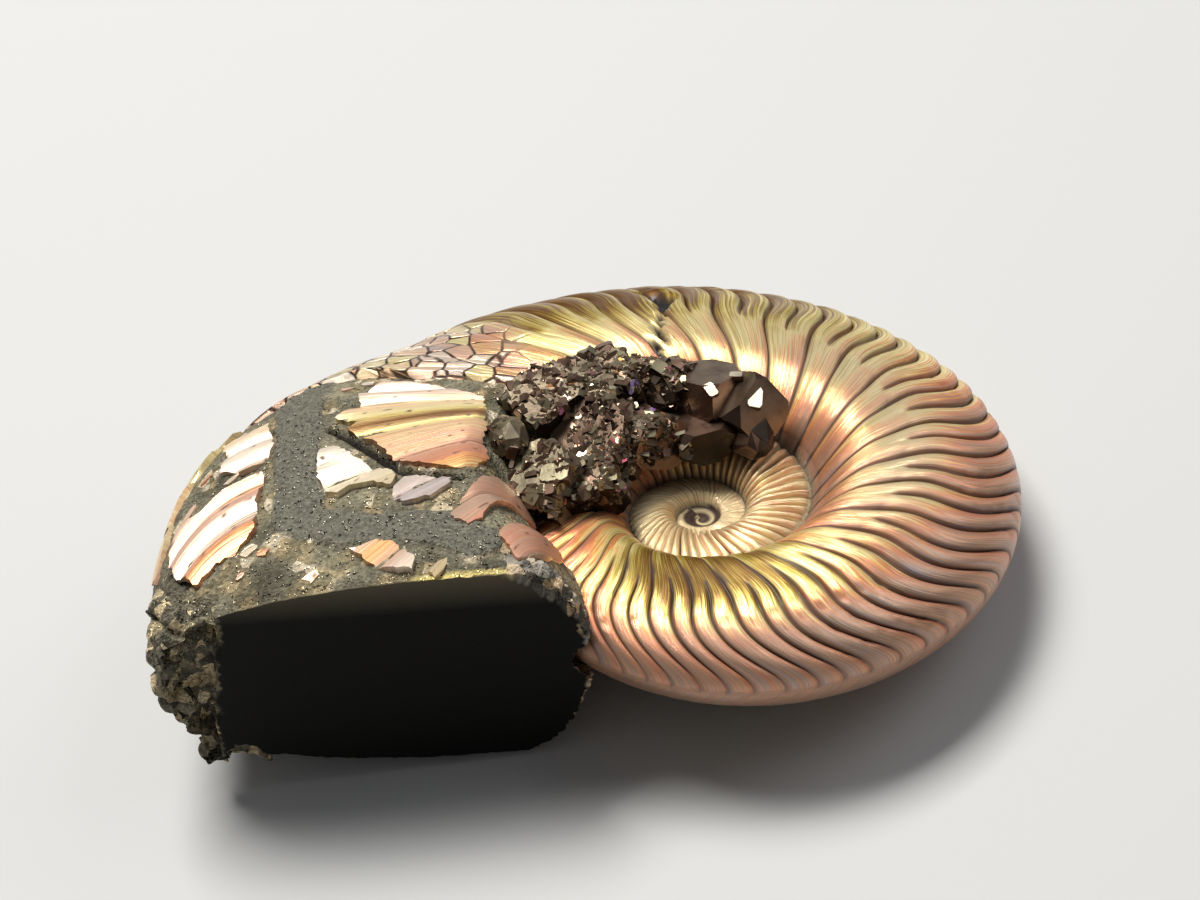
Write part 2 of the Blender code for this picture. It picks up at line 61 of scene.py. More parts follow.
# Sizes are in millimetres and degrees on the shell's own plane, axis upright. An angle
# runs on, whorl after whorl; a share runs from 0 at a whorl's seam to 1 at its venter,
# the outer edge. A base angle is a rib's own, before the rib sweeps forward. A pair of
# numbers for a change says where it starts and over what width it is made.
MM = 0.001
REST_PITCH = -6.4
REST_ROLL = 4.6
SHELL_AT = (7.477, -4.916, 7.693)

VENTER_RADIUS = 22.6
VENTER_GROWTH = 0.1532
VENTER_SLOWING = -0.0060
SEAM_RADIUS = 7.77
SEAM_GROWTH = 0.1259
SEAM_SLOWING = -0.0033
SEAM_HEIGHT = 0.19
OVERLAP = 1.143
INNER_TURN = 160.0
FLARE = ((360.0, 0.0), (420.0, -0.018), (492.0, -0.050), (540.0, 0.098), (600.0, 0.150))
THICKNESS = ((160.0, 0.231), (340.0, 0.248), (440.0, 0.202), (556.0, 0.240), (600.0, 0.216))
CHAMBER_SAG = 0.07
CHAMBER_FROM = 470.0
CHAMBER_FULL = 540.0
SHOULDER = 0.3155
SHOULDER_CHAMBER = 0.185
ROUNDNESS = 2.02
ROUNDNESS_CHAMBER = 2.6

FIRST_ANGLE = -219.0
RIB_STEP = 6.0
RIB_COLUMNS = 12
RIB_CROWDING = 0.62
COIL_STEPS = 121.5
WHORL_STEPS = 62
SWEEP_INNER = -9.0
SWEEP_SEAM = 3.0
SWEEP_OUTER = 14.0
NOMINAL_SEAM_T = 0.62
SEAM_ROW = {1: 16, -1: 7}
VENTER_ROW = {1: 42, -1: 19}
CORE_SKIP = 3
HUB_RINGS = 4
HUB_RISE = 0.10

RIB_OUTER = 0.0105
RIB_INNER = 0.0062
RIB_GROWS = (0.30, 0.25)
RIB_LEAN = 0.75
RIB_FULLNESS = 0.56
RIB_STRENGTH = (0.85, 0.3)
RIB_HUE = 0.32
GROOVE_DEPTH = (1.6, 2.1)
# Share at which a rib splits in two, how far that varies, and the width of the split.
RIB_SPLIT = (0.26, 0.20, 0.22)
# The innermost whorls have closer ribs of their own.
RIB_CORE = 0.038
CORE_RIB = 7.2
CORE_ENDS = 140.0
CORE_FADE = 20.0
CORE_START = (0.25, 0.75, 40.0)
# The flank of the last whorl is calmer between these angles, near its seam.
CALM_FROM = (225.0, 25.0)
CALM_TO = (296.0, 30.0)
CALM_SHARE = (0.42, 0.18)
CALM = 0.55
HOLLOW = (0.46, 1.22)
HOLLOW_DEPTH = 0.10


def ease(x):
    x = np.clip(x, 0.0, 1.0)
    return x * x * (3.0 - 2.0 * x)


def rises(x, start, width):
    """0 up to the start, then smoothly up to 1 over the width."""
    return ease((x - start) / width)


def between(table, angle):
    """Smooth value read between the (angle, value) pairs of a short table."""
    value = np.full(np.shape(angle), table[0][1])
    for (a0, v0), (a1, v1) in zip(table, table[1:]):
        value = np.where(angle > a0, v0 + (v1 - v0) * ease((angle - a0) / (a1 - a0)), value)
    return value


def seam_radius(angle):
    u = np.radians(angle - 360.0)
    return SEAM_RADIUS * np.exp(SEAM_GROWTH * u + SEAM_SLOWING * u * u)


def venter_radius(angle):
    u = np.radians(angle - 360.0)
    grown = VENTER_GROWTH * u + VENTER_SLOWING * u * u + between(FLARE, angle)
    inner = OVERLAP * seam_radius(angle + 360.0)
    return np.where(angle < INNER_TURN, inner, VENTER_RADIUS * np.exp(grown))


def half_thickness(angle):
    return between(THICKNESS, angle) * venter_radius(angle)


def in_chamber(angle):
    return ease((angle - CHAMBER_FROM) / (CHAMBER_FULL - CHAMBER_FROM))


def shoulder(angle):
    return SHOULDER + (SHOULDER_CHAMBER - SHOULDER) * in_chamber(angle)


def flank_height(angle, t, start):
    """Height of the flank above the shell's plane at share t."""
    top = half_thickness(angle)
    bend = shoulder(angle)
    power = ROUNDNESS + (ROUNDNESS_CHAMBER - ROUNDNESS) * in_chamber(angle)
    rise = np.sin(0.5 * np.pi * np.clip(t / bend, 0.0, 1.0)) ** 0.9
    x = np.clip((t - bend) / (1.0 - bend), 0.0, 1.0)
    fall = (1.0 - x ** power) ** (1.0 / power)
    return np.where(t < bend, start + (top - start) * rise, top * fall)


def seam_share(angle):
    """Share of the flank at which the next whorl covers this one."""
    inner = seam_radius(angle)
    here = (seam_radius(angle + 360.0) - inner) / (venter_radius(angle) - inner)
    return here + (NOMINAL_SEAM_T - here) * ease((angle - INNER_TURN) / 100.0)


def share_sweep(t):
    """Forward sweep of the ribs, in degrees, at share t."""
    inner = SWEEP_INNER + (SWEEP_SEAM - SWEEP_INNER) * ease(t / NOMINAL_SEAM_T)
    v = np.clip((t - NOMINAL_SEAM_T) / (1.0 - NOMINAL_SEAM_T), 0.0, 1.0)
    return inner + SWEEP_OUTER * v ** 3


def flank_spot(angle, t, lift, inner=None, start=None):
    """Radius and height on the flank, lifted along the surface normal."""
    inner = seam_radius(angle) if inner is None else inner
    start = SEAM_HEIGHT * seam_radius(angle) if start is None else start
    outer = venter_radius(angle)
    t0 = np.clip(t - 0.01, 0.0, 1.0)
    t1 = np.clip(t + 0.01, 0.0, 1.0)
    dr = (outer - inner) * (t1 - t0)
    dh = flank_height(angle, t1, start) - flank_height(angle, t0, start)
    size = np.hypot(dr, dh)
    radius = inner + (outer - inner) * t
    at_venter = t > 0.9999
    height = np.where(at_venter, 0.0, flank_height(angle, t, start) + lift * dr / size)
    return np.where(at_venter, radius + lift, radius - lift * dh / size), height


def spin(angle, radius, height):
    """Shell-plane points from angle, radius and height."""
    a = np.radians(angle)
    return np.stack((radius * np.cos(a), radius * np.sin(a), height), axis=-1)


def step_base(column):
    """Base angle of a mesh column; columns crowd together at the rib grooves."""
    whole = np.floor_divide(column, RIB_COLUMNS)
    u = column / RIB_COLUMNS - whole
    u = u - RIB_CROWDING * np.sin(2.0 * np.pi * u) / (2.0 * np.pi)
    return FIRST_ANGLE + RIB_STEP * (whole + u)


def scatter(index, seed):
    """Steady random share between 0 and 1 for a whole number."""
    x = np.sin(index * 12.9898 + seed * 78.233) * 43758.5453
    return x - np.floor(x)


def rib_crest(phase):
    """Rib section: -1 at the bottom of the groove, then steeply up and gently down."""
    return 2.0 * np.sin(np.pi * (phase - np.floor(phase)) ** RIB_LEAN) ** RIB_FULLNESS - 1.0


def past_core(base, ends=CORE_ENDS):
    """0 on the innermost whorls, 1 on the others."""
    return rises(base, ends, CORE_FADE)


def ribbing(base, t):
    """Shape of the ribs, from -1 to 1, and how far across its rib each point lies."""
    steps = (base - FIRST_ANGLE) / RIB_STEP
    core = (base - FIRST_ANGLE) / CORE_RIB
    least, spread, width = RIB_SPLIT
    split = rises(t, least + spread * scatter(np.floor(steps / 2.0), 3.0), width)
    grown = past_core(base)
    crest = rib_crest(steps / 2.0) * (1.0 - split) + rib_crest(steps) * split
    crest = rib_crest(core) * (1.0 - grown) + crest * grown
    across = np.where(grown > 0.5, np.where(split > 0.5, steps, steps / 2.0), core)
    return crest, across - np.floor(across)


def rib_size(angle, base, t):
    """Half height of the ribs in millimetres."""
    split = rises(t, *RIB_GROWS)
    main = RIB_INNER * (1.0 - split) + RIB_OUTER * split
    calm = rises(angle, *CALM_FROM) * (1.0 - rises(angle, *CALM_TO))
    calm = calm * (1.0 - rises(t, *CALM_SHARE))
    grown = past_core(base)
    least, rest, width = CORE_START
    core = RIB_CORE * (least + rest * rises(base, FIRST_ANGLE, width))
    high = core * (1.0 - grown) + main * (1.0 - CALM * calm) * grown
    fade = ease(t / 0.07) * (1.0 - 0.85 * rises(t, 0.91, 0.09))
    return high * venter_radius(angle) * fade


def rows_across(angle, side):
    """Share and sweep of every mesh row at the given angles."""
    seam, venter = SEAM_ROW[side], VENTER_ROW[side]
    row = np.arange(venter + 1)
    inner = row / seam
    turn = np.clip((row - seam) / (venter - seam), 0.0, 1.0)
    nominal = math.asin((NOMINAL_SEAM_T - SHOULDER) / (1.0 - SHOULDER))
    swing = nominal + (0.5 * math.pi - nominal) * turn
    sweep = np.where(row <= seam, share_sweep(np.minimum(inner, 1.0) * NOMINAL_SEAM_T),
                     share_sweep(SHOULDER + (1.0 - SHOULDER) * np.sin(swing)))
    here = angle[:, None] + sweep[None, :]
    ts = seam_share(here)
    bend = shoulder(here)
    a0 = np.arcsin(np.clip((ts - bend) / (1.0 - bend), 0.0, 1.0))
    outer = bend + (1.0 - bend) * np.sin(a0 + (0.5 * math.pi - a0) * turn)
    t = np.where(row <= seam, ts * inner, outer)
    return here, t, ts


def stand(points):
    """Lays points of the shell's plane down on the table, in metres, inside the solids' reach."""
    pitch = Matrix.Rotation(math.radians(REST_PITCH), 3, 'X')
    laid = pitch @ Matrix.Rotation(math.radians(REST_ROLL), 3, 'Y')
    laid_down = (np.asarray(points) @ np.array(laid).T + np.array(SHELL_AT)) * MM
    return np.clip(laid_down, cad_box[0], cad_box[1])


def make_piece(name, points, faces, values, smooth=True):
    """Mesh object from shell-plane points, with named values on its points."""
    mesh = bpy.data.meshes.new(name)
    mesh.from_pydata(stand(points).tolist(), [], faces)
    for label, value in values.items():
        kind = 'FLOAT_VECTOR' if np.ndim(value) == 2 else 'FLOAT'
        attribute = mesh.attributes.new(label, kind, 'POINT')
        key = "vector" if kind == 'FLOAT_VECTOR' else "value"
        attribute.data.foreach_set(key, np.ascontiguousarray(value, dtype=np.float32).ravel())
    work = bmesh.new()
    work.from_mesh(mesh)
    bmesh.ops.recalc_face_normals(work, faces=work.faces[:])
    work.to_mesh(mesh)
    work.free()
    if smooth:
        mesh.shade_smooth()
    piece = bpy.data.objects.new(name, mesh)
    bpy.context.scene.collection.objects.link(piece)
    return piece


def zip_chains(outer, inner):
    """Triangles between two rows of points."""
    made = []
    i, j = 0, 0
    while i < len(outer) - 1 or j < len(inner) - 1:
        step_outer = j == len(inner) - 1
        if not step_outer and i < len(outer) - 1:
            step_outer = (i + 1) * (len(inner) - 1) <= (j + 1) * (len(outer) - 1)
        third = outer[i + 1] if step_outer else inner[j + 1]
        corner = (outer[i], third, inner[j])
        if len(set(corner)) == 3:
            made.append(corner)
        if step_outer:
            i += 1
        else:
            j += 1
    return made


def quads(corner, columns, rows):
    """Four-sided faces of a grid; corner gives the number of a point from its place."""
    return [(corner(i, j), corner(i, j + 1), corner(i + 1, j + 1), corner(i + 1, j))
            for i in columns for j in rows]


# Where the shimmer leaves copper pink: angle and its spread, share and its spread,
# how strong, and the place on the nacre's colour scale.
SHIMMER = (
    (455.0, 42.0, 0.38, 0.18, 1.6, 0.38), (460.0, 58.0, 0.94, 0.32, 6.0, 0.04),
    (403.0, 24.0, 0.42, 0.19, 1.3, 0.40), (392.0, 40.0, 0.90, 0.24, 1.2, 0.86),
    (378.0, 40.0, 0.06, 0.08, 1.0, 0.72), (356.0, 32.0, 0.43, 0.22, 2.4, 0.38),
    (345.0, 45.0, 0.88, 0.20, 1.0, 0.84), (314.0, 30.0, 0.36, 0.17, 1.1, 0.50),
    (264.0, 30.0, 0.38, 0.26, 7.0, 0.08), (275.0, 34.0, 0.72, 0.07, 1.4, 0.52),
    (275.0, 40.0, 0.86, 0.14, 1.2, 0.74), (300.0, 60.0, 1.00, 0.09, 2.6, 0.84),
    (218.0, 16.0, 0.50, 0.34, 5.0, 0.60), (224.0, 10.0, 0.22, 0.10, 3.0, 0.26),
    (505.0, 14.0, 0.55, 0.40, 1.6, 0.50),
)
# Where it pales to cream, a painted highlight on the bands where the light shines brightest, and where it
# is dull and brown: the same, then how much.
PALE_AND_PAINTED_HIGHLIGHT = (
    (352.0, 38.0, 0.45, 0.24, 0.45), (404.0, 26.0, 0.42, 0.20, 0.30), (455.0, 40.0, 0.36, 0.16, 0.25),
    (285.0, 40.0, 0.82, 0.11, 0.30),
)
DULL = ((258.0, 34.0, 0.42, 0.20), 0.30)
PALE_CORE = 0.42
PINK = 0.78
PINK_WEIGHT = 0.30
CORE_GOLD = 0.38
GOLD_ENDS = 120.0
TOP_SHADE = 0.86

# Waves that keep the ribs from being even, and that make the broken end ragged: height,
# turns for each degree along and for each share across, and shift.
WANDER = ((0.35, 0.31, 5.0, 0.0), (0.25, 0.83, -7.0, 1.7))
WANDER_ENDS = (504.0, 5.0)
RAGGED = ((0.7, 0.0, 23.0, 1.0), (0.4, 0.0, 57.0, 0.0), (0.25, 0.0, 111.0, 2.0))
RAGGED_FROM = (500.0, 10.0)
WEAR = 0.10
PLAIN_UNDERSIDE = (0.78, 0.16)

# The gouge across the back of the last whorl is carved in and painted near-black, a painted shade inside
# the crack.
GOUGE = (
    (-2.4, 22.6), (-1.9, 21.4), (-1.3, 20.7), (-1.9, 19.6), (-1.7, 18.0), (-2.3, 16.6),
    (-1.9, 15.2), (-2.5, 13.4),
)
GOUGE_ANGLES = (430.0, 480.0)
GOUGE_WIDTH = 0.62
GOUGE_WIDENS = (20.0, 1.2)
GOUGE_DEPTH = 0.85
TILE_FROM = 487.0
TILE_FULL = 499.0
TILE_SIZE = 2.1
TILE_STRETCH = (1.3, 0.75)
TILE_RADIUS = 20.0
TILE_CRACK = 0.05
TILE_CRACK_WIDTH = 0.24
TILE_TILT = 0.07
TILE_HUE = 0.58


def soft_patch(angle, t, middle, spread, share, share_spread):
    """1 in the middle of a patch of the surface, fading to 0 around it."""
    return np.exp(-((angle - middle) / spread) ** 2 - ((t - share) / share_spread) ** 2)


def shimmer(angle, t, base):
    """Place on the nacre's colour scale."""
    total = np.full(np.shape(angle), PINK_WEIGHT)
    value = total * PINK
    for *patch, strength, place in SHIMMER:
        weight = strength * soft_patch(angle, t, *patch)
        total = total + weight
        value = value + weight * place
    inner = 1.0 - past_core(base, GOLD_ENDS)
    return value / total * (1.0 - inner) + CORE_GOLD * inner


def waves(table, base, t):
    return sum(height * np.sin(base * along + t * across + shift) for height, along, across, shift in table)


def line_distance(x, y, line):
    """Distance of each point to a line of points on the shell's plane."""
    best = np.full(np.shape(x), 1e9)
    for (ax, ay), (bx, by) in zip(line, line[1:]):
        dx, dy = bx - ax, by - ay
        s = np.clip(((x - ax) * dx + (y - ay) * dy) / (dx * dx + dy * dy), 0.0, 1.0)
        best = np.minimum(best, np.hypot(x - ax - s * dx, y - ay - s * dy))
    return best


def gouged(x, y, angle):
    """1 in the black gouge across the back of the last whorl, 0 elsewhere."""
    reach = line_distance(x + 0.15 * np.sin(4.0 * y) + 0.07 * np.sin(11.0 * y), y, GOUGE)
    width = GOUGE_WIDTH * (0.55 + 1.2 * rises(y, *GOUGE_WIDENS))
    on_back = (angle > GOUGE_ANGLES[0]) & (angle < GOUGE_ANGLES[1])
    return np.where(on_back, 1.0 - ease((reach - 0.4 * width) / (0.6 * width)), 0.0)


def tiles(angle, radius):
    """Cracks between the broken tiles of nacre, and each tile's own number."""
    crack = np.zeros(np.shape(angle))
    tint = np.zeros(np.shape(angle))
    for k in np.argwhere(angle > TILE_FROM - 4.0):
        k = tuple(k)
        along = math.radians(angle[k] - TILE_FULL) * TILE_RADIUS
        spot = Vector((along / TILE_SIZE * TILE_STRETCH[0], radius[k] / TILE_SIZE * TILE_STRETCH[1], 4.0))
        reach, centres = noise.voronoi(spot)
        crack[k] = 1.0 - min(1.0, (reach[1] - reach[0]) / TILE_CRACK_WIDTH)
        tint[k] = noise.cell(centres[0] * 7.31)
    return crack, tint


def coil_surface(columns, side):
    """Points and surface values of the coil for whole columns of one side."""
    base = step_base(columns)
    here, t, ts = rows_across(base, side)
    base = np.broadcast_to(base[:, None], here.shape)
    first_open = RIB_COLUMNS * (COIL_STEPS - WHORL_STEPS)
    covered = base < step_base(np.array(first_open)) - 0.5
    under_seam = np.where(covered, ease((1.0 - t / ts) / 0.08), 1.0)
    near_seam = under_seam * ease(t / 0.06)
    wander = waves(WANDER, base, t) * (1.0 - rises(base, *WANDER_ENDS))
    here = here + (wander + waves(RAGGED, base, t) * rises(base, *RAGGED_FROM)) * near_seam
    crest, across = ribbing(base, t)
    size = rib_size(here, base, t) * under_seam
    if side < 0:
        size = size * (1.0 - 0.85 * rises(t, *PLAIN_UNDERSIDE))
    least, spread = RIB_STRENGTH
    strength = least + spread * scatter(np.floor((base - FIRST_ANGLE) / RIB_STEP), 8.0)
    shallow, full = GROOVE_DEPTH
    deep = shallow + (full - shallow) * past_core(base) * rises(t, 0.2, 0.3)
    lift = size * np.where(crest > 0.0, crest, crest * deep) * strength
    radius, _ = flank_spot(here, t, 0.0)
    x, y = radius * np.cos(np.radians(here)), radius * np.sin(np.radians(here))
    worn = np.sin(1.9 * x + 1.3 * y) * np.sin(1.1 * x - 2.3 * y + 2.0) * np.sin(0.7 * x + 3.1 * y)
    lift = lift - WEAR * rises(worn, 0.45, 0.3) * rises(t, 0.55, 0.2)
    gouge = gouged(x, y, here) if side > 0 else np.zeros(here.shape)
    crack, tint = tiles(here, radius)
    broken = ease((here - TILE_FROM - 5.0 * np.sin(7.0 * t)) / (TILE_FULL - TILE_FROM))
    broken = broken * rises(t, 0.12, 0.1)
    crack = crack * broken
    standing = broken * (1.0 - rises(t, 0.86, 0.08))
    lift = lift * (1.0 - 0.75 * broken) + standing * (TILE_TILT * (tint - 0.5) - TILE_CRACK * crack)
    lift = lift - GOUGE_DEPTH * gouge * (1.0 + 0.4 * np.sin(9.0 * x) * np.sin(8.0 * y))
    # The central hollow is sunk, and below it is darkened as painted shade.
    hollow = rises(radius, HOLLOW[0], 0.1) * (1.0 - rises(radius, HOLLOW[1], 0.25))
    lift = lift - HOLLOW_DEPTH * hollow
    radius, height = flank_spot(here, t, lift)
    on_seam = t < 1e-6
    edge = (t >= ts - 1e-6) & (t <= ts + 1e-6) & (columns[:, None] <= first_open)
    seam_angle = np.where(on_seam, here, here + 360.0)
    radius = np.where(on_seam | edge, seam_radius(seam_angle), radius)
    height = np.where(on_seam | edge, SEAM_HEIGHT * radius, height)
    points = spin(here, radius, height * side)

    # Painted shade: the bottom of each rib groove and the steep side of each rib are darkened towards brown
    # and lose their metal, where shade falls between the ribs.
    steep_side_shade = (1.0 - ease(across / 0.24)) * past_core(base, 150.0) * rises(t, 0.25, 0.2)
    painted_shade_and_dirt = np.maximum(ease((0.30 - crest) / 1.15), 0.8 * steep_side_shade)
    painted_shade_and_dirt = painted_shade_and_dirt * np.clip(size / 0.06, 0.0, 1.0) * (1.0 - 0.75 * broken)
    dull = DULL[1] * soft_patch(here, t, *DULL[0])
    # Painted shade along the seam, where each whorl meets the one inside it.
    seam_shade = 1.0 - rises(t, 0.012, 0.07) * np.where(covered, ease((1.0 - t / ts) / 0.09), 1.0)
    place = shimmer(here, t, base) + RIB_HUE * (0.5 - across) * ease(size / 0.05) * (1.0 - 2.5 * dull)
    place = place + broken * (TILE_HUE - place)
    pale = PALE_CORE * (1.0 - past_core(base, GOLD_ENDS))
    for *patch, amount in PALE_AND_PAINTED_HIGHLIGHT:
        pale = pale + amount * soft_patch(here, t, *patch)
    values = {
        "growth": np.stack((base, t * 10.0, np.full(here.shape, 3.0 * side)), axis=-1),
        "shade": np.minimum(place, TOP_SHADE),
        # Painted shade in the grooves, the seam, the gouge and the central hollow, together with the dull
        # brown patch.
        "painted_shade_and_dirt": np.clip(painted_shade_and_dirt + dull + gouge + hollow + 0.9 * seam_shade, 0.0, 1.0),
        "pale": np.clip(np.maximum(pale, 0.95 * broken), 0.0, 1.0),
        "broken": broken,
        "gouge_black": gouge,
    }
    return points, values


def build_coil():
    """The whole coil as one closed mesh, each whorl sharing its seam with the next."""
    last = round(RIB_COLUMNS * COIL_STEPS)
    share = RIB_COLUMNS * WHORL_STEPS
    first_full = last - share
    core_columns = share // CORE_SKIP
    points, faces = [], []
    all_values = {}
    index = {}

    def keep(key, point, chosen):
        index[key] = len(points)
        points.append(point)
        for name, value in chosen.items():
            all_values.setdefault(name, []).append(value)

    for side in (1, -1):
        seam, venter = SEAM_ROW[side], VENTER_ROW[side]
        spots, values = coil_surface(np.arange(-share, last + 1), side)

        def keep_spot(key, column, row):
            keep(key, spots[column, row], {name: value[column, row] for name, value in values.items()})

        for column in range(last + 1):
            for row in range((venter if column >= first_full else seam) + 1):
                if row == 0 and column >= share:
                    index[side, column, 0] = index[side, column - share, seam]
                elif row == venter and side < 0:
                    index[side, column, row] = index[1, column, VENTER_ROW[1]]
                else:
                    keep_spot((side, column, row), column + share, row)
        for column in range(last):
            top = venter if column >= first_full else seam
            faces += quads(lambda i, j: index[side, i, j], [column], range(top))

        def core(column, row):
            if row == seam:
                return index[side, CORE_SKIP * column, 0]
            if column == core_columns:
                return index[side, 0, row]
            key = (side, "core", column, row)
            if key not in index:
                keep_spot(key, CORE_SKIP * column, row)
            return index[key]

        for column in range(core_columns):
            faces += quads(core, [column], range(seam - 1))
            fine = [index[side, CORE_SKIP * column + k, 0] for k in range(CORE_SKIP + 1)]
            faces += zip_chains(fine, [core(column, seam - 1), core(column + 1, seam - 1)])

        turned = core_columns - round(2 * core_columns / WHORL_STEPS)
        rim_height = abs(points[core(0, 0)][2])
        sample = {name: value[0, 0] for name, value in values.items()}
        for ring in range(1, HUB_RINGS):
            inward = ring / HUB_RINGS
            for column in range(turned + 1):
                spot = np.array(points[core(column, 0)]) * (1.0 - inward)
                spot[2] = side * (rim_height + HUB_RISE * math.sin(math.pi * min(inward * 1.2, 0.75)))
                # Painted shade: the inner rings of the hub are darkened into a dark bowl.
                keep((side, "hub", ring, column), spot, {**sample, "painted_shade_and_dirt": float(ring > 1)})
        middle = (side, "hub", "top")
        keep(middle, np.array((0.0, 0.0, side * (rim_height + HUB_RISE * 0.8))), sample)

        def hub(ring, column):
            return core(column, 0) if ring == 0 else index[side, "hub", ring, column]

        for ring in range(HUB_RINGS - 1):
            faces += quads(hub, [ring], range(turned))
            faces.append((hub(ring, turned), hub(ring, 0), hub(ring + 1, 0), hub(ring + 1, turned)))
        for column in range(turned):
            faces.append((index[middle], hub(HUB_RINGS - 1, column), hub(HUB_RINGS - 1, column + 1)))
        faces.append((index[middle], hub(HUB_RINGS - 1, turned), hub(HUB_RINGS - 1, 0)))
        rim = [core(column, 0) for column in range(turned, core_columns + 1)]
        faces += zip_chains(rim, [core(0, row) for row in range(seam + 1)])

    ends = []
    for column, low in ((last, {1: 0, -1: 0}), (first_full, SEAM_ROW)):
        chain = [index[1, column, row] for row in range(low[1], VENTER_ROW[1] + 1)]
        chain += [index[-1, column, row] for row in range(VENTER_ROW[-1] - 1, low[-1] - 1, -1)]
        ends.append(chain)
    faces += zip_chains(*ends)
    return make_piece("shell", points, faces, {name: np.array(value) for name, value in all_values.items()})


def feed(tree, node, inputs):
    """Gives a node's inputs their values, or links them to the sockets given."""
    for name, value in inputs.items():
        socket = node.inputs[name]
        if isinstance(value, bpy.types.NodeSocket):
            tree.links.new(value, socket)
        elif socket.type == 'RGBA':
            socket.default_value = (*value, 1.0)
        else:
            socket.default_value = value


def add_node(tree, kind, inputs=(), **settings):
    made = tree.nodes.new("ShaderNode" + kind)
    for name, value in settings.items():
        setattr(made, name, value)
    feed(tree, made, dict(inputs))
    return made


def maths(tree, kind, a, b, clamp=False):
    """Maths on two sockets or numbers."""
    return add_node(tree, 'Math', {0: a, 1: b}, operation=kind, use_clamp=clamp).outputs[0]


def plus(tree, a, b, clamp=False):
    return maths(tree, 'ADD', a, b, clamp)


def minus(tree, a, b):
    return maths(tree, 'SUBTRACT', a, b)


def times(tree, a, b):
    return maths(tree, 'MULTIPLY', a, b)


def ramp(tree, value, stops):
    """Colour read from a value on a scale of (place, colour) stops."""
    made = add_node(tree, 'ValToRGB', {0: value})
    scale = made.color_ramp
    while len(scale.elements) < len(stops):
        scale.elements.new(0.5)
    for stop, (place, colour) in zip(scale.elements, stops):
        stop.position = place
        stop.color = (*colour, 1.0)
    return made.outputs[0]


def blend_colour(tree, share, a, b, kind='MIX'):
    """The first colour, with the second mixed in by the share."""
    return add_node(tree, 'Mix', {0: share, 6: a, 7: b}, data_type='RGBA', blend_type=kind).outputs[2]


def field(tree, name, output="Fac"):
    """Values kept on the points or faces of the mesh."""
    return add_node(tree, 'Attribute', attribute_name=name).outputs[output]


def own_place(tree):
    return add_node(tree, 'TexCoord').outputs["Object"]


def noise_on(tree, vector, scale, detail, roughness=0.5):
    return add_node(tree, 'TexNoise', {"Vector": vector, "Scale": scale, "Detail": detail,
                                       "Roughness": roughness}).outputs[0]


def stretched_noise(tree, vector, stretch, detail=3.0, roughness=0.55):
    """Noise on coordinates stretched by a factor for each axis."""
    scaled = add_node(tree, 'VectorMath', {0: vector, 1: stretch}, operation='MULTIPLY')
    return noise_on(tree, scaled.outputs[0], 1.0, detail, roughness)


def cells_on(tree, vector, scale, feature='F1'):
    return add_node(tree, 'TexVoronoi', {"Vector": vector, "Scale": scale}, feature=feature).outputs


def own_numbers(tree, cells):
    """Three random numbers for each cell."""
    return add_node(tree, 'SeparateColor', {0: cells["Color"]}).outputs


def fine_relief(tree, height, strength, distance):
    return add_node(tree, 'Bump', {"Height": height, "Strength": strength, "Distance": distance}).outputs[0]


def new_finish(name):
    finish = bpy.data.materials.new(name)
    finish.use_nodes = True
    return finish, finish.node_tree, finish.node_tree.nodes["Principled BSDF"]


NACRE_SCALE = (
    (0.00, (0.18, 0.075, 0.015)), (0.12, (0.27, 0.14, 0.022)), (0.26, (0.60, 0.44, 0.07)),
    (0.39, (0.92, 0.80, 0.36)), (0.51, (0.86, 0.40, 0.09)), (0.62, (0.66, 0.20, 0.10)),
    (0.75, (0.62, 0.33, 0.20)), (0.88, (0.41, 0.245, 0.15)), (1.00, (0.42, 0.36, 0.42)),
)
CREAM = (0.87, 0.76, 0.62)
SHADE_AND_CRACK_BROWN = (0.040, 0.014, 0.007)
GOUGE_BLACK = (0.006, 0.005, 0.004)
FINE_LINES = ((0.30, (0.60, 0.53, 0.50)), (0.60, (1.0, 1.0, 1.0)))
STREAK = (2.5, 0.22, 1.0)
BLOTCH = (0.30, 0.45, 1.0)
STRIAE = (3.6, 0.20, 1.0)
TILES_PER_METRE = 500.0


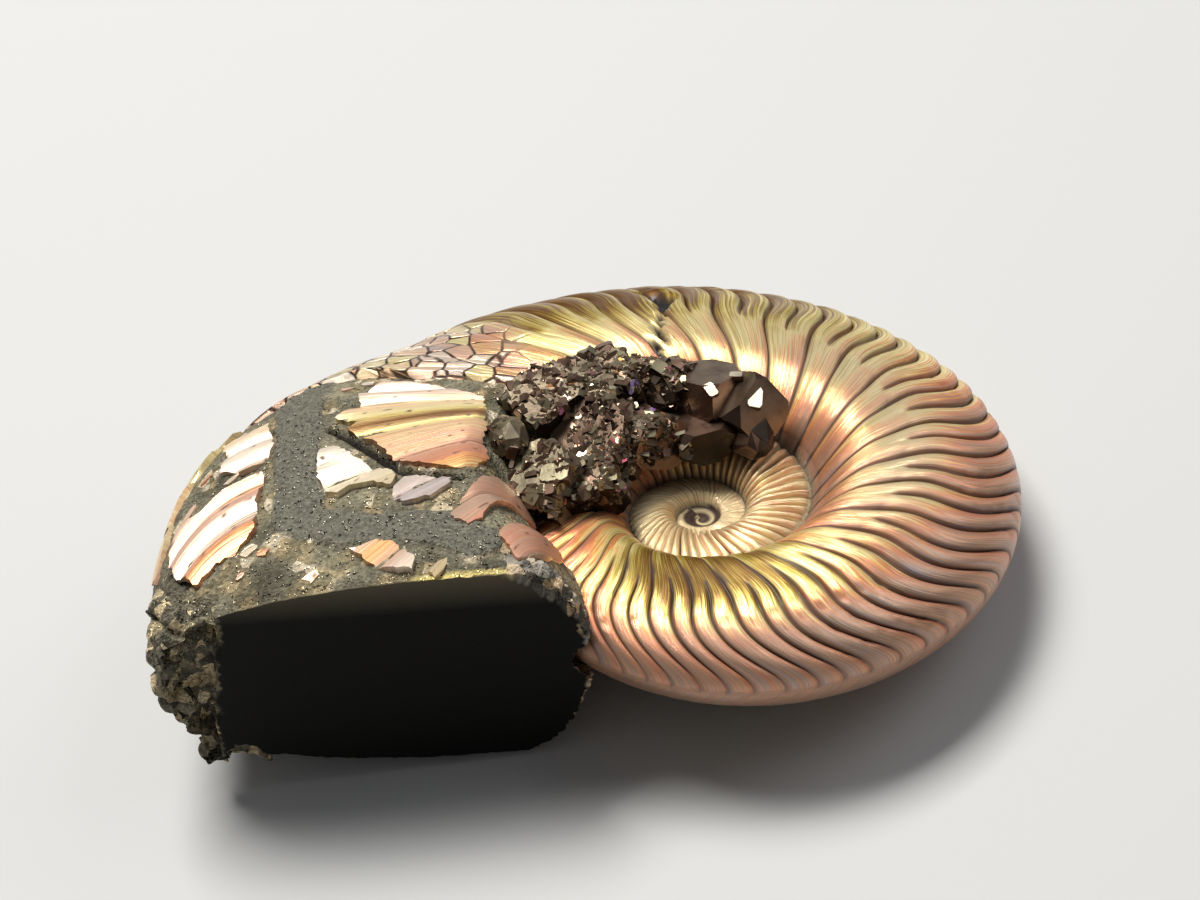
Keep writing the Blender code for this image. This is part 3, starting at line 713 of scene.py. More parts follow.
def nacre_finish(name, streaks=0.44, blotches=0.14, roughness=0.24, metal=0.64):
    """Mother-of-pearl: colour bands run with the growth lines, under a clear gloss; painted shade and dirt
    darken it towards brown and take away its metal.
    """
    finish, tree, shader = new_finish(name)
    growth = field(tree, "growth", "Vector")
    painted_shade_and_dirt = field(tree, "painted_shade_and_dirt")
    broken = field(tree, "broken")
    gouge_black = field(tree, "gouge_black")
    spot = own_place(tree)
    streak = stretched_noise(tree, growth, STREAK, 2.0)
    blotch = stretched_noise(tree, growth, BLOTCH)
    fine = stretched_noise(tree, growth, STRIAE, 3.0, 0.65)
    shift = times(tree, minus(tree, streak, 0.5), streaks * 2.0)
    drift = times(tree, minus(tree, blotch, 0.5), blotches * 2.0)
    edge = cells_on(tree, spot, TILES_PER_METRE, 'DISTANCE_TO_EDGE')
    crack = add_node(tree, 'MapRange', {0: edge[0], 1: 0.070, 2: 0.02}).outputs[0]
    crack = times(tree, crack, broken)
    tile = own_numbers(tree, cells_on(tree, spot, TILES_PER_METRE))
    own = times(tree, minus(tree, tile[0], 0.5), times(tree, broken, 0.5))
    place = plus(tree, field(tree, "shade"), plus(tree, shift, plus(tree, drift, own)), clamp=True)
    colour = ramp(tree, place, NACRE_SCALE)
    worn = minus(tree, 1.0, times(tree, broken, times(tree, tile[1], 0.8)))
    colour = blend_colour(tree, times(tree, field(tree, "pale"), worn), colour, CREAM)
    colour = blend_colour(tree, 0.6, colour, ramp(tree, fine, FINE_LINES), 'MULTIPLY')
    # Painted shade and dirt, then the cracks between broken tiles, turn the colour dark brown.
    colour = blend_colour(tree, painted_shade_and_dirt, colour, SHADE_AND_CRACK_BROWN)
    colour = blend_colour(tree, crack, colour, SHADE_AND_CRACK_BROWN)
    dull = plus(tree, roughness, times(tree, blotch, 0.14))
    dull = plus(tree, dull, times(tree, painted_shade_and_dirt, 0.3))
    wall = minus(tree, fine, times(tree, crack, 2.5))
    feed(tree, shader, {
        # The gouge is painted near-black as the shade in its crack.
        "Base Color": blend_colour(tree, gouge_black, colour, GOUGE_BLACK),
        "Roughness": plus(tree, dull, times(tree, gouge_black, 0.4)),
        "Metallic": minus(tree, metal, times(tree, painted_shade_and_dirt, metal)),
        "Coat Weight": 0.15,
        "Coat Roughness": 0.16,
        "Normal": fine_relief(tree, wall, 0.6, 0.00009),
    })
    return finish


coil = build_coil()
coil.data.materials.append(nacre_finish("nacre"))
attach(coil, "root")
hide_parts("nacre_shell_coil")


# The stone fill of the living chamber: fine dark mud turned to stone and pyrite, a
# cast of the chamber's inside, broken off flat at the near end. It is rough as sand,
# with a raised band of dark crust where pyrite grew thickest.
STONE_INSET = 0.40
STONE_GAP = 0.45
STONE_LIP = (0.35, 0.45)
STONE_FROM = 511.0
STONE_TO = 641.0
STONE_SECTIONS = 96
STONE_ROWS = 40
BROKEN_EDGE = 10.9
BROKEN_EDGE_SLOPE = 0.25
BROKEN_FROM = 560.0
FACE_Y = -13.46
FACE_TURN = 0.023
FACE_LEAN = -0.164
FACE_WEAR = 0.9
GRAIN = 0.185
FACE_GRID = 0.30
LUMP_SIZE = 1.9
CHIP_SIZE = 0.75

# Lumps of crumbled pyrite at the outer end of the face, and more that join the lowest
# of them to the stone: x, y, height and size.
RUBBLE = (
    (-34.4, -13.1, 4.9, 1.9), (-35.5, -13.3, 1.9, 2.1), (-35.6, -12.9, -1.3, 2.0),
    (-34.6, -13.1, -4.2, 2.1), (-34.3, -12.6, -7.4, 1.9), (-33.2, -13.9, 1.9, 1.5),
    (-36.2, -10.4, 3.2, 1.8), (-36.0, -9.8, -2.8, 1.8), (-32.6, -14.4, 5.6, 1.4),
)
CORNER = (
    (-33.4, -12.4, -6.0, 1.9), (-34.0, -12.8, -2.8, 1.6), (-32.4, -11.6, -7.6, 1.8),
    (-31.0, -11.4, -8.2, 1.4), (-33.6, -11.0, -6.6, 1.8),
)
RUBBLE_SQUASH = (0.96, 0.88, 0.96)
RUBBLE_CHIPS = 46
CHIP_SIZES = (0.45, 0.85)
CHIP_REACH = 0.72
CRUST = (
    (-28.0, 11.5), (-28.5, 8.0), (-28.1, 4.0), (-27.7, 0.0), (-27.3, -4.0), (-26.9, -8.0),
    (-24.0, -9.6), (-20.0, -10.4), (-17.4, -10.4), (-14.9, -12.2),
)
CRUST_REACH = 1.45
CRUST_EDGE = 0.35
CRUST_RISE = 0.24
FISSURE = (
    (-25.6, 2.8), (-24.3, 1.3), (-22.6, -0.7), (-21.3, -2.3), (-20.3, -3.7), (-18.5, -4.3),
    (-16.2, -5.1),
)
FISSURE_REACH = 0.20
FISSURE_EDGE = 0.26
FISSURE_DEPTH = 0.5


def chamber_start(angle):
    """Radius at which the chamber leaves the whorl before it, and its height there."""
    a = np.radians(angle)
    along = np.cos(a) + BROKEN_EDGE_SLOPE * np.sin(a)
    radius = seam_radius(angle)
    cut = (angle > BROKEN_FROM) & (along < -0.05)
    radius = np.where(cut, np.maximum(radius, BROKEN_EDGE / np.maximum(-along, 0.05)), radius)
    previous = angle - 360.0
    t = (radius - seam_radius(previous)) / (venter_radius(previous) - seam_radius(previous))
    height = flank_height(previous, t, SEAM_HEIGHT * seam_radius(previous))
    return radius, np.where(t >= 1.0, 0.3, height), np.minimum(t, 1.0)


def stone_ring(angle):
    """Closed ring round the chamber: out over the flank, under, and back inside."""
    t = 0.5 - 0.5 * np.cos(math.pi * np.arange(STONE_ROWS + 1) / STONE_ROWS)
    here = angle + share_sweep(t)
    inner, start, _ = chamber_start(here)
    radius, height = flank_spot(here, t, -STONE_INSET, inner, start)
    radius[0], height[0] = inner[0] + STONE_LIP[0], start[0] + STONE_LIP[1]
    under = height[-2::-1] * -(1.0 + CHAMBER_SAG * in_chamber(here[-2::-1]))
    outer = np.concatenate((spin(here, radius, height), spin(here[-2::-1], radius[-2::-1], under)))
    share = np.linspace(0.0, 1.0, 13)[1:]
    here = angle + SWEEP_INNER + share * (share_sweep(1.0) - SWEEP_SEAM)
    inner, start, t0 = chamber_start(here)
    before = here - 360.0
    bend = shoulder(before)
    a0 = np.arcsin(np.clip((t0 - bend) / (1.0 - bend), 0.0, 1.0))
    t = bend + (1.0 - bend) * np.sin(a0 + (0.5 * math.pi - a0) * share)
    radius, height = flank_spot(before, np.minimum(t, 1.0), STONE_GAP)
    height = np.where(t0 >= 1.0, start * (1.0 - share), height)
    radius = np.maximum(radius, inner + 0.2)
    turned = here[-2::-1]
    back = np.concatenate((spin(here, radius, -height), spin(turned, radius[-2::-1], height[-2::-1])))
    return np.concatenate((outer, back))


def hull(spots):
    """Smallest flat-faced solid round some points."""
    work = bmesh.new()
    for spot in spots:
        work.verts.new(spot)
    made = bmesh.ops.convex_hull(work, input=work.verts[:])
    loose = made["geom_interior"] + made["geom_unused"]
    spare = {g for g in loose if isinstance(g, bmesh.types.BMVert)}
    bmesh.ops.delete(work, geom=list(spare), context='VERTS')
    bmesh.ops.recalc_face_normals(work, faces=work.faces[:])
    bmesh.ops.dissolve_limit(work, angle_limit=0.03, verts=work.verts[:], edges=work.edges[:])
    work.verts.index_update()
    corners = [tuple(v.co) for v in work.verts]
    faces = [tuple(v.index for v in f.verts) for f in work.faces]
    work.free()
    return corners, faces


def lump(centre, size, chooser, count=14):
    """Flat-faced lump: the hull of points spread evenly round a ball."""
    spots = []
    turn = chooser.uniform(0.0, 2.0 * math.pi)
    for k in range(count):
        z = 1.0 - 2.0 * (k + 0.5) / count
        a = turn + 2.4 * k + chooser.uniform(-0.25, 0.25)
        ring = math.sqrt(1.0 - z * z)
        reach = chooser.uniform(0.84, 1.06)
        spots.append([c + s * reach * d for c, s, d in
                      zip(centre, size, (ring * math.cos(a), ring * math.sin(a), z))])
    return hull(spots)


def add_solid(points, faces, solid):
    """Adds a solid to the lists, and gives back its own corners and sides."""
    corners, sides = solid
    faces += [tuple(i + len(points) for i in side) for side in sides]
    points += corners
    return corners, sides


def read_points(items, label):
    values = np.empty(len(items) * 3)
    items.foreach_get(label, values)
    return values.reshape(-1, 3)


def fuse(points, faces, grain):
    """One skin round overlapping solids, rebuilt from even grains."""
    mesh = bpy.data.meshes.new("raw")
    mesh.from_pydata(points, [], faces)
    raw = bpy.data.objects.new("raw", mesh)
    bpy.context.scene.collection.objects.link(raw)
    skin = raw.modifiers.new("grain", 'REMESH')
    skin.mode = 'VOXEL'
    skin.voxel_size = grain
    graph = bpy.context.evaluated_depsgraph_get()
    fused = bpy.data.meshes.new_from_object(raw.evaluated_get(graph), depsgraph=graph)
    bpy.data.objects.remove(raw, do_unlink=True)
    return fused


def relief(points, size):
    """Smooth noise at each point, between about -1 and 1."""
    return np.array([noise.noise(Vector(p / size)) for p in points])


def pebbling(points, size):
    """Rounded lumps: 1 on top of a lump, 0 or less in the gaps between."""
    value = np.zeros(len(points))
    for k, p in enumerate(points):
        reach, _ = noise.voronoi(Vector(p / size))
        value[k] = min(1.0, (reach[1] - reach[0]) / 0.35) * (1.0 - 0.6 * reach[0] ** 2)
    return value


def crumbled(spots):
    """Where the flat face has crumbled: lumps at its outer end, chips at its inner end."""
    x, z = spots[:, 0], spots[:, 2]
    wavy = 0.5 * relief(spots, 1.7)
    outer = ease((wavy - 31.9 + 0.17 * (z - 4.5) - x) / 0.5)
    inner = ease((x + wavy + 8.5 + 4.7 * np.clip((z + 1.0) / 9.6, 0.0, 1.0) ** 3) / 0.4)
    return outer, inner


def stone_zones(spots):
    """Where the crust, fissure, pale crumbly strip, rubble, gold rim and tan scraps lie."""
    x, y, z = spots[:, 0], spots[:, 1], spots[:, 2]
    depth = (spots - np.array((0.0, FACE_Y, 0.0))) @ np.array(FACING)
    wavy = 0.35 * relief(spots * np.array((1.0, 1.0, 0.2)), 1.6)
    on_top = rises(z, 1.5, 1.5)
    crust = line_distance(x, y, CRUST) + wavy - CRUST_REACH
    crust = (1.0 - ease(crust / CRUST_EDGE)) * on_top
    fissure = line_distance(x, y, FISSURE) + 0.4 * wavy - FISSURE_REACH
    fissure = (1.0 - ease(fissure / FISSURE_EDGE)) * on_top
    outer, inner = crumbled(spots)
    low_corner = ease((-31.0 - x - 0.25 * z) / 2.0) * ease((-7.5 - y) / 3.0)
    beside_face = rises(depth, -2.4, 1.4) * rises(x, -14.0, 2.0)
    rim = rises(depth, -0.55, 0.3) * rises(x, -19.5, 1.5) * (1.0 - rises(x, -13.5, 1.0)) * on_top
    return {
        "crust": crust,
        "fissure": fissure,
        "pale": np.maximum(beside_face, inner * rises(depth, -2.0, 0.8)),
        "rubble": np.maximum(low_corner, outer * rises(depth, -3.0, 1.5)),
        "rim": rim,
        "tan": rises(relief(spots, 2.3), -0.05, 0.3) * on_top * (1.0 - crust),
    }, depth


def close_flat(work):
    """Fills the flat cut of an open solid."""
    facing = Vector(FACING)
    across = Vector((1.0, FACE_TURN, 0.0)).normalized()
    up = facing.cross(across)
    rim = [e for e in work.edges if e.is_boundary]
    corners = list({v: None for e in rim for v in e.verts})
    number = {v: i for i, v in enumerate(corners)}
    flat = [Vector((v.co.dot(across), v.co.dot(up))) for v in corners]
    edges = [(number[e.verts[0]], number[e.verts[1]]) for e in rim]
    low = Vector((min(p.x for p in flat), min(p.y for p in flat)))
    span = Vector((max(p.x for p in flat), max(p.y for p in flat))) - low
    grid = [low + Vector((FACE_GRID * (i + 0.5 * (j % 2)), FACE_GRID * j))
            for i in range(int(span.x / FACE_GRID)) for j in range(int(span.y / FACE_GRID))]
    spots, _, cells, source, _, _ = geometry.delaunay_2d_cdt(flat + grid, edges, [], 1, 1e-6)
    level = sum(v.co.dot(facing) for v in corners) / len(corners)
    used = {i for cell in cells for i in cell}
    made, fresh = {}, []
    for i in used:
        old = [k for k in source[i] if k < len(corners)]
        if old:
            made[i] = corners[old[0]]
        else:
            made[i] = work.verts.new(across * spots[i].x + up * spots[i].y + facing * level)
            fresh.append(made[i])
    for cell in cells:
        if len({made[i] for i in cell}) == 3:
            work.faces.new([made[i] for i in cell])
    spots = np.array([v.co for v in fresh])
    outer, inner = crumbled(spots)
    sink = outer * (0.15 + 1.5 * (1.0 - pebbling(spots, LUMP_SIZE)))
    sink += inner * (0.10 + 0.55 * (1.0 - pebbling(spots, CHIP_SIZE)))
    for vert, amount in zip(fresh, sink):
        vert.co -= facing * float(amount)


FACING = tuple(Vector((FACE_TURN, -1.0, FACE_LEAN)).normalized())


def build_stone():
    rings = [stone_ring(a) for a in np.linspace(STONE_FROM, STONE_TO, STONE_SECTIONS)]
    count = len(rings[0])
    points = [tuple(p) for ring in rings for p in ring]
    faces = quads(lambda k, i: k * count + i % count, range(len(rings) - 1), range(count))
    turn = 2 * STONE_ROWS
    for k in (0, len(rings) - 1):
        ring = list(range(k * count, (k + 1) * count))
        faces += zip_chains(ring[:turn + 1], [ring[0]] + ring[:turn:-1] + [ring[turn]])
    chooser = random.Random(7)
    lumps = [((x, y, z), size) for x, y, z, size in RUBBLE + CORNER]
    for _ in range(RUBBLE_CHIPS):
        (x, y, z), size = lumps[chooser.randrange(len(RUBBLE))]
        a, b = chooser.uniform(0.0, 6.28), chooser.uniform(-1.2, 1.2)
        reach = size * CHIP_REACH
        spot = (x + reach * math.cos(a) * math.cos(b) * 0.8, y + reach * math.sin(a) * math.cos(b),
                z + reach * math.sin(b))
        lumps.append((spot, chooser.uniform(*CHIP_SIZES)))
    for centre, size in lumps:
        add_solid(points, faces, lump(centre, [size * squash for squash in RUBBLE_SQUASH], chooser))
    mesh = fuse(points, faces, GRAIN)
    spots = read_points(mesh.vertices, "co")
    normals = read_points(mesh.vertex_normals, "vector")
    zones, depth = stone_zones(spots)
    small = relief(spots, 0.26)
    lift = 0.09 * relief(spots, 1.3) + 0.07 * relief(spots, 0.55) + 0.05 * small - 0.05
    crust = CRUST_RISE + 0.12 * relief(spots, 0.8) + 0.04 * small
    lift += zones["crust"] * crust - FISSURE_DEPTH * zones["fissure"]
    lift += zones["rubble"] * 0.75 * (pebbling(spots, LUMP_SIZE) - 0.65)
    lift += zones["pale"] * 0.30 * (pebbling(spots, CHIP_SIZE) - 0.6)
    beside = normals @ np.array(FACING) < 0.7
    lift -= 0.30 * ease((depth + FACE_WEAR) / FACE_WEAR) * beside
    spots = spots + normals * lift[:, None]

    work = bmesh.new()
    work.from_mesh(mesh)
    for vert, spot in zip(work.verts, spots):
        vert.co = spot
    everything = work.verts[:] + work.edges[:] + work.faces[:]
    bmesh.ops.bisect_plane(work, geom=everything, plane_co=(0.0, FACE_Y, 0.0), plane_no=FACING,
                           clear_outer=True, dist=1e-6)
    rim = list({v: None for e in work.edges if e.is_boundary for v in e.verts})
    bmesh.ops.remove_doubles(work, verts=rim, dist=0.01)
    close_flat(work)
    work.verts.index_update()
    spots = np.array([v.co for v in work.verts])
    sides = [tuple(v.index for v in f.verts) for f in work.faces]
    work.free()
    zones, depth = stone_zones(spots)
    outer, inner = crumbled(spots)
    zones["face"] = (depth > -1e-3) * np.clip(1.0 - 2.0 * (outer + inner), 0.0, 1.0)
    zones["height"] = spots[:, 2]
    piece = make_piece("stone", spots, sides, zones)
    piece.data.set_sharp_from_angle(angle=math.radians(55.0))
    return piece


# Colours of the stone, each on a scale read from noise or from a cell's own number.
SPECKS = ((0.34, (0.55, 0.54, 0.51)), (0.52, (1.02, 1.01, 0.97)), (0.68, (1.55, 1.5, 1.38)))
GROUND = ((0.32, (0.065, 0.060, 0.042)), (0.5, (0.135, 0.124, 0.090)), (0.66, (0.22, 0.20, 0.14)))
SCRAPS = ((0.0, (0.10, 0.085, 0.05)), (0.55, (0.22, 0.17, 0.09)), (0.80, (0.50, 0.38, 0.22)),
          (0.93, (0.72, 0.62, 0.48)))
CHALK = ((0.0, (0.07, 0.065, 0.055)), (0.45, (0.17, 0.155, 0.13)), (0.70, (0.42, 0.38, 0.32)),
         (0.92, (0.62, 0.45, 0.27)))
PEBBLES = ((0.0, (0.065, 0.060, 0.045)), (0.60, (0.16, 0.145, 0.105)), (0.82, (0.32, 0.26, 0.16)),
           (0.94, (0.62, 0.50, 0.32)))
CRUST_GREY = (0.125, 0.120, 0.098)
RIM_GOLD = (0.60, 0.48, 0.18)
FISSURE_AND_PAINTED_SHADOW = (0.010, 0.008, 0.006)
# The flat face: its painted shade near-black, its painted light at the top, and the heights between which
# it lightens.
FACE_PAINTED_SHADE = (0.0024, 0.0021, 0.0014)
FACE_TOP_PAINTED_LIGHT = (0.11, 0.092, 0.058)
FACE_PAINTED_LIGHT_HEIGHTS = (5.8, 9.3)
SPARKLING = 0.90


def stone_finish():
    """Dark grain with sparkling specks, smoother on the flat face, which is painted almost black as shade
    and lighter towards its top as painted light.
    """
    finish, tree, shader = new_finish("pyritic_stone")
    spot = own_place(tree)
    broad = noise_on(tree, spot, 260.0, 4.0)
    grain = noise_on(tree, spot, 3200.0, 3.0, 0.7)
    cells = cells_on(tree, spot, 5200.0)
    chip = own_numbers(tree, cells_on(tree, spot, 1100.0))
    face = field(tree, "face")
    speck = ramp(tree, grain, SPECKS)
    tan = times(tree, field(tree, "tan"), 0.55)
    colour = blend_colour(tree, tan, ramp(tree, broad, GROUND), ramp(tree, chip[0], SCRAPS))
    colour = blend_colour(tree, 1.0, colour, speck, 'MULTIPLY')
    crust = blend_colour(tree, 1.0, CRUST_GREY, speck, 'MULTIPLY')
    colour = blend_colour(tree, field(tree, "crust"), colour, crust)
    pale = times(tree, field(tree, "pale"), 0.85)
    colour = blend_colour(tree, pale, colour, ramp(tree, chip[1], CHALK))
    pebbles = blend_colour(tree, 1.0, ramp(tree, chip[2], PEBBLES), speck, 'MULTIPLY')
    colour = blend_colour(tree, field(tree, "rubble"), colour, pebbles)
    colour = blend_colour(tree, field(tree, "rim"), colour, RIM_GOLD)
    # The fissure is painted near-black: a dark crack together with the painted shadow under the edge of the
    # large flake.
    colour = blend_colour(tree, field(tree, "fissure"), colour, FISSURE_AND_PAINTED_SHADOW)
    # Painted shade on the flat face, lighter towards its top as painted light.
    low, high = FACE_PAINTED_LIGHT_HEIGHTS
    light = add_node(tree, 'MapRange', {0: field(tree, "height"), 1: low, 2: high}).outputs[0]
    smooth = blend_colour(tree, light, FACE_PAINTED_SHADE, FACE_TOP_PAINTED_LIGHT)
    spark = maths(tree, 'GREATER_THAN', own_numbers(tree, cells)[0], SPARKLING)
    spark = times(tree, spark, minus(tree, 1.0, face))
    rough = minus(tree, 1.0, times(tree, face, 0.93))
    height = times(tree, plus(tree, grain, cells["Distance"]), rough)
    feed(tree, shader, {
        "Base Color": blend_colour(tree, face, colour, smooth),
        "Metallic": spark,
        "Specular IOR Level": 0.14,
        "Roughness": minus(tree, 0.72, times(tree, spark, 0.47)),
        "Normal": fine_relief(tree, height, 0.9, 0.00012),
    })
    return finish


stone = build_stone()
stone.data.materials.append(stone_finish())
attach(stone, "root")
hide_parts("chamber_stone")


# The flakes: scraps of the shell wall still stuck on the stone, each broken free of
# the coil along its ribs and across them. They are the same nacre, a third of a
# millimetre thick, with ragged edges.
FLAKE_UNDER = -0.58
FLAKE_TOP = -0.26
FLAKE_RIBS = 0.95
FLAKE_GRID = (0.5, 0.010)
FLAKE_STEP = (0.7, 0.014)
FLAKE_RAG = (0.20, 0.004)
FLAKE_HUE = 0.12
FLAKE_GROOVE = 1.4
FLAKE_SHARP = math.radians(50.0)
# Outlines of the flakes, as angle and share.
FLAKES = {
    "flake_large_ribbed": (
        (519, 0.59), (516, 0.57), (515.5, 0.50), (517, 0.42), (520, 0.32), (523, 0.235),
        (531, 0.18), (539, 0.14), (549, 0.13), (556, 0.115), (561, 0.145), (560, 0.20),
        (555, 0.27), (551, 0.33), (546, 0.37), (541, 0.41), (535, 0.485), (533.5, 0.50),
        (532, 0.49), (529, 0.56), (524, 0.54)),
    "flake_white": (
        (536.8, 0.553), (537.4, 0.53), (539.5, 0.50), (547, 0.42), (553, 0.352), (555, 0.345), (557, 0.36),
        (554, 0.40), (553, 0.43), (552, 0.46), (552.5, 0.485), (551, 0.515), (546, 0.54),
        (542.5, 0.55), (539, 0.555)),
    "flake_silver": (
        (558, 0.353), (556.5, 0.325), (559, 0.27), (564, 0.217), (566, 0.225), (566.5, 0.275),
        (564, 0.337), (560.5, 0.36)),
    "flake_outer_ribbed": (
        (540.5, 0.69), (545, 0.69), (548, 0.695), (552.5, 0.69), (554.5, 0.745), (554, 0.795),
        (554, 0.84), (549.5, 0.875), (548.5, 0.89), (542.5, 0.92), (540.5, 0.915), (539, 0.905),
        (541, 0.845), (540.5, 0.785)),
    "flake_outer_upper": (
        (526.5, 0.77), (534, 0.69), (537, 0.70), (538, 0.75), (535, 0.82), (532, 0.82),
        (525, 0.88), (528, 0.81)),
    "flake_edge_sliver": (
        (513, 0.95), (516, 0.935), (521, 0.93), (527, 0.945), (530, 0.965), (527, 0.985),
        (519, 0.985), (513, 0.98)),
    "flake_small_orange": (
        (566.5, 0.49), (569, 0.42), (571.5, 0.39), (577.5, 0.378), (578.5, 0.395), (574, 0.45)),
    "flake_pink_flap": (
        (575, 0.254), (572.5, 0.22), (570, 0.174), (564, 0.106), (559, 0.06), (558, 0.03),
        (563, 0.012), (570, 0.02), (572.5, 0.05), (577, 0.12), (581, 0.195), (580, 0.23)),
    "flake_brown_pink": (
        (587.5, 0.195), (586, 0.116), (584.5, 0.05), (588, 0.02), (595, 0.04), (599, 0.10),
        (598, 0.13), (595.5, 0.19)),
}
# Bands of colour along each flake: angle, place on the nacre's colour scale, paleness.
FLAKE_BANDS = {
    "flake_large_ribbed": ((515, 0.62, 0.7), (520, 0.66, 0.8), (525, 0.50, 0.5), (530, 0.40, 0.3),
                           (534, 0.02, 0.0), (537, 0.45, 0.3), (543, 0.52, 0.4), (549, 0.66, 0.3),
                           (555, 0.60, 0.1), (561, 0.52, 0.1)),
    "flake_white": ((535, 0.70, 0.9), (543, 0.60, 1.0), (550, 0.40, 0.8), (557, 0.20, 0.5)),
    "flake_silver": ((556, 1.0, 0.5), (562, 1.0, 0.35), (566, 0.95, 0.5)),
    "flake_outer_ribbed": ((539, 0.62, 0.7), (543, 0.58, 0.3), (546.5, 0.66, 0.5), (549, 1.0, 0.6),
                           (551.5, 0.52, 0.1), (555, 0.66, 0.2)),
    "flake_outer_upper": ((524, 0.20, 0.3), (530, 0.60, 0.8), (534, 0.66, 0.9), (538, 0.55, 0.6)),
    "flake_edge_sliver": ((513, 0.10, 0.2), (530, 0.52, 0.4)),
    "flake_small_orange": ((566, 0.62, 0.9), (570, 0.52, 0.1), (574, 0.66, 0.6), (578, 0.55, 0.9)),
    "flake_pink_flap": ((558, 0.75, 0.3), (568, 0.72, 0.2), (575, 0.80, 0.2), (581, 0.72, 0.2)),
    "flake_brown_pink": ((584, 0.88, 0.0), (590, 0.64, 0.2), (596, 0.70, 0.3), (600, 0.86, 0.1)),
}


def ragged_outline(outline, chooser):
    """The outline in short steps, each point pushed a little off its line."""
    ring = []
    for (b0, t0), (b1, t1) in zip(outline, outline[1:] + outline[:1]):
        steps = max(1, round(max(abs(b1 - b0) / FLAKE_STEP[0], abs(t1 - t0) / FLAKE_STEP[1])))
        for k in range(steps):
            share = k / steps
            ring.append((b0 + (b1 - b0) * share + chooser.uniform(-1.0, 1.0) * FLAKE_RAG[0],
                         t0 + (t1 - t0) * share + chooser.uniform(-1.0, 1.0) * FLAKE_RAG[1]))
    return ring


def lay_plate(name, ring, bands, ribs=FLAKE_RIBS, top=FLAKE_TOP):
    """Curved plate whose outline is given on the shell's own angles and shares."""
    bases = [b for b, _ in ring]
    shares = [t for _, t in ring]
    squash = FLAKE_GRID[0] / FLAKE_GRID[1]
    rim = [Vector((b, t * squash)) for b, t in ring]
    inside = []
    for i in range(int((max(bases) - min(bases)) / FLAKE_GRID[0]) + 1):
        for j in range(int((max(shares) - min(shares)) / FLAKE_GRID[1]) + 1):
            inside.append(Vector((min(bases) + i * FLAKE_GRID[0] + 0.01 * (j % 2),
                                  (min(shares) + (j + 0.5 * (i % 2)) * FLAKE_GRID[1]) * squash)))
    count = len(rim)
    edges = [(i, (i + 1) % count) for i in range(count)]
    whole = [list(range(count))]
    spots, _, cells, _, _, _ = geometry.delaunay_2d_cdt(rim + inside, edges, whole, 1, 1e-5)
    base = np.array([p.x for p in spots])
    t = np.array([p.y for p in spots]) / squash
    here = base + share_sweep(t)
    inner, start, _ = chamber_start(here)
    crest, across = ribbing(base, t)
    lift = top + rib_size(here, base, t) * ribs * np.where(crest > 0.0, crest, crest * FLAKE_GROOVE)
    layers = []
    for height in (lift, np.full(lift.shape, FLAKE_UNDER)):
        radius, level = flank_spot(here, t, height, inner, start)
        layers.append(spin(here, radius, level))
    total = len(spots)
    sides = {(a, b) for cell in cells for a, b in zip(cell, cell[1:] + cell[:1])}
    faces = [tuple(cell) for cell in cells]
    faces += [tuple(i + total for i in reversed(cell)) for cell in cells]
    faces += [(b, a, a + total, b + total) for a, b in sides if (b, a) not in sides]
    angles = [band[0] for band in bands]
    shade = np.interp(base, angles, [band[1] for band in bands]) + FLAKE_HUE * (0.5 - across)
    pale = np.interp(base, angles, [band[2] for band in bands])
    dirt = np.array([noise.noise(Vector((b * 0.9, s * 42.0, 7.0))) for b, s in zip(base, t)])
    # Painted shade in the rib grooves, with dirt of stone grains in patches.
    painted_shade_and_dirt = np.clip(0.8 * ease((0.0 - crest) / 1.0) + rises(dirt, 0.50, 0.12), 0.0, 1.0)
    values = {
        "growth": np.tile(np.stack((base, t * 10.0, np.full(total, 3.0)), axis=-1), (2, 1)),
        "shade": np.tile(shade, 2),
        "pale": np.tile(pale, 2),
        "painted_shade_and_dirt": np.tile(painted_shade_and_dirt, 2),
    }
    return make_piece(name, np.concatenate(layers), faces, values)


# Crumbs of the same shell too small to be worth a name: angle, share, size across.
CRUMBS = (
    (555.3, 0.715, 1.1), (557.2, 0.68, 0.8), (566.0, 0.59, 1.0), (582.0, 0.345, 1.4), (559.0, 0.74, 0.6),
    (533.0, 0.66, 0.7), (537.5, 0.79, 0.8), (531.0, 0.88, 0.8), (536.0, 0.90, 0.9), (519.0, 0.72, 0.9),
    (516.5, 0.68, 0.9), (514.5, 0.64, 1.0),
)
CRUMB_TINTS = ((0.40, 0.8), (0.52, 0.2), (0.62, 0.6), (0.20, 0.4), (0.75, 0.3), (1.0, 0.7))
CRUMB_CORNERS = 7
CRUMB_DEGREES = 1.0 / (2.0 * 0.45)
CRUMB_SHARE = 0.026
CRUMB_RIBS = 0.1
CRUMB_TOP = -0.35
# A strip of shell on the outer edge, with its outline and its bands of colour.
EDGE_STRIP = ((531.0, 0.955), (534.0, 0.95), (537.0, 0.962), (537.5, 0.975), (534.0, 0.985), (531.0, 0.98))
EDGE_BANDS = ((530.0, 0.3, 0.5), (538.0, 0.6, 0.5))


flake_finish = nacre_finish("nacre_flake", streaks=0.24, blotches=0.10, roughness=0.24, metal=0.50)
for flake_name in FLAKES:
    outline = ragged_outline(FLAKES[flake_name], random.Random(flake_name))
    flake = lay_plate(flake_name, outline, FLAKE_BANDS[flake_name])
    flake.data.materials.append(flake_finish)
    flake.data.set_sharp_from_angle(angle=FLAKE_SHARP)
    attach(flake, "root")
    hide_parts(flake_name)

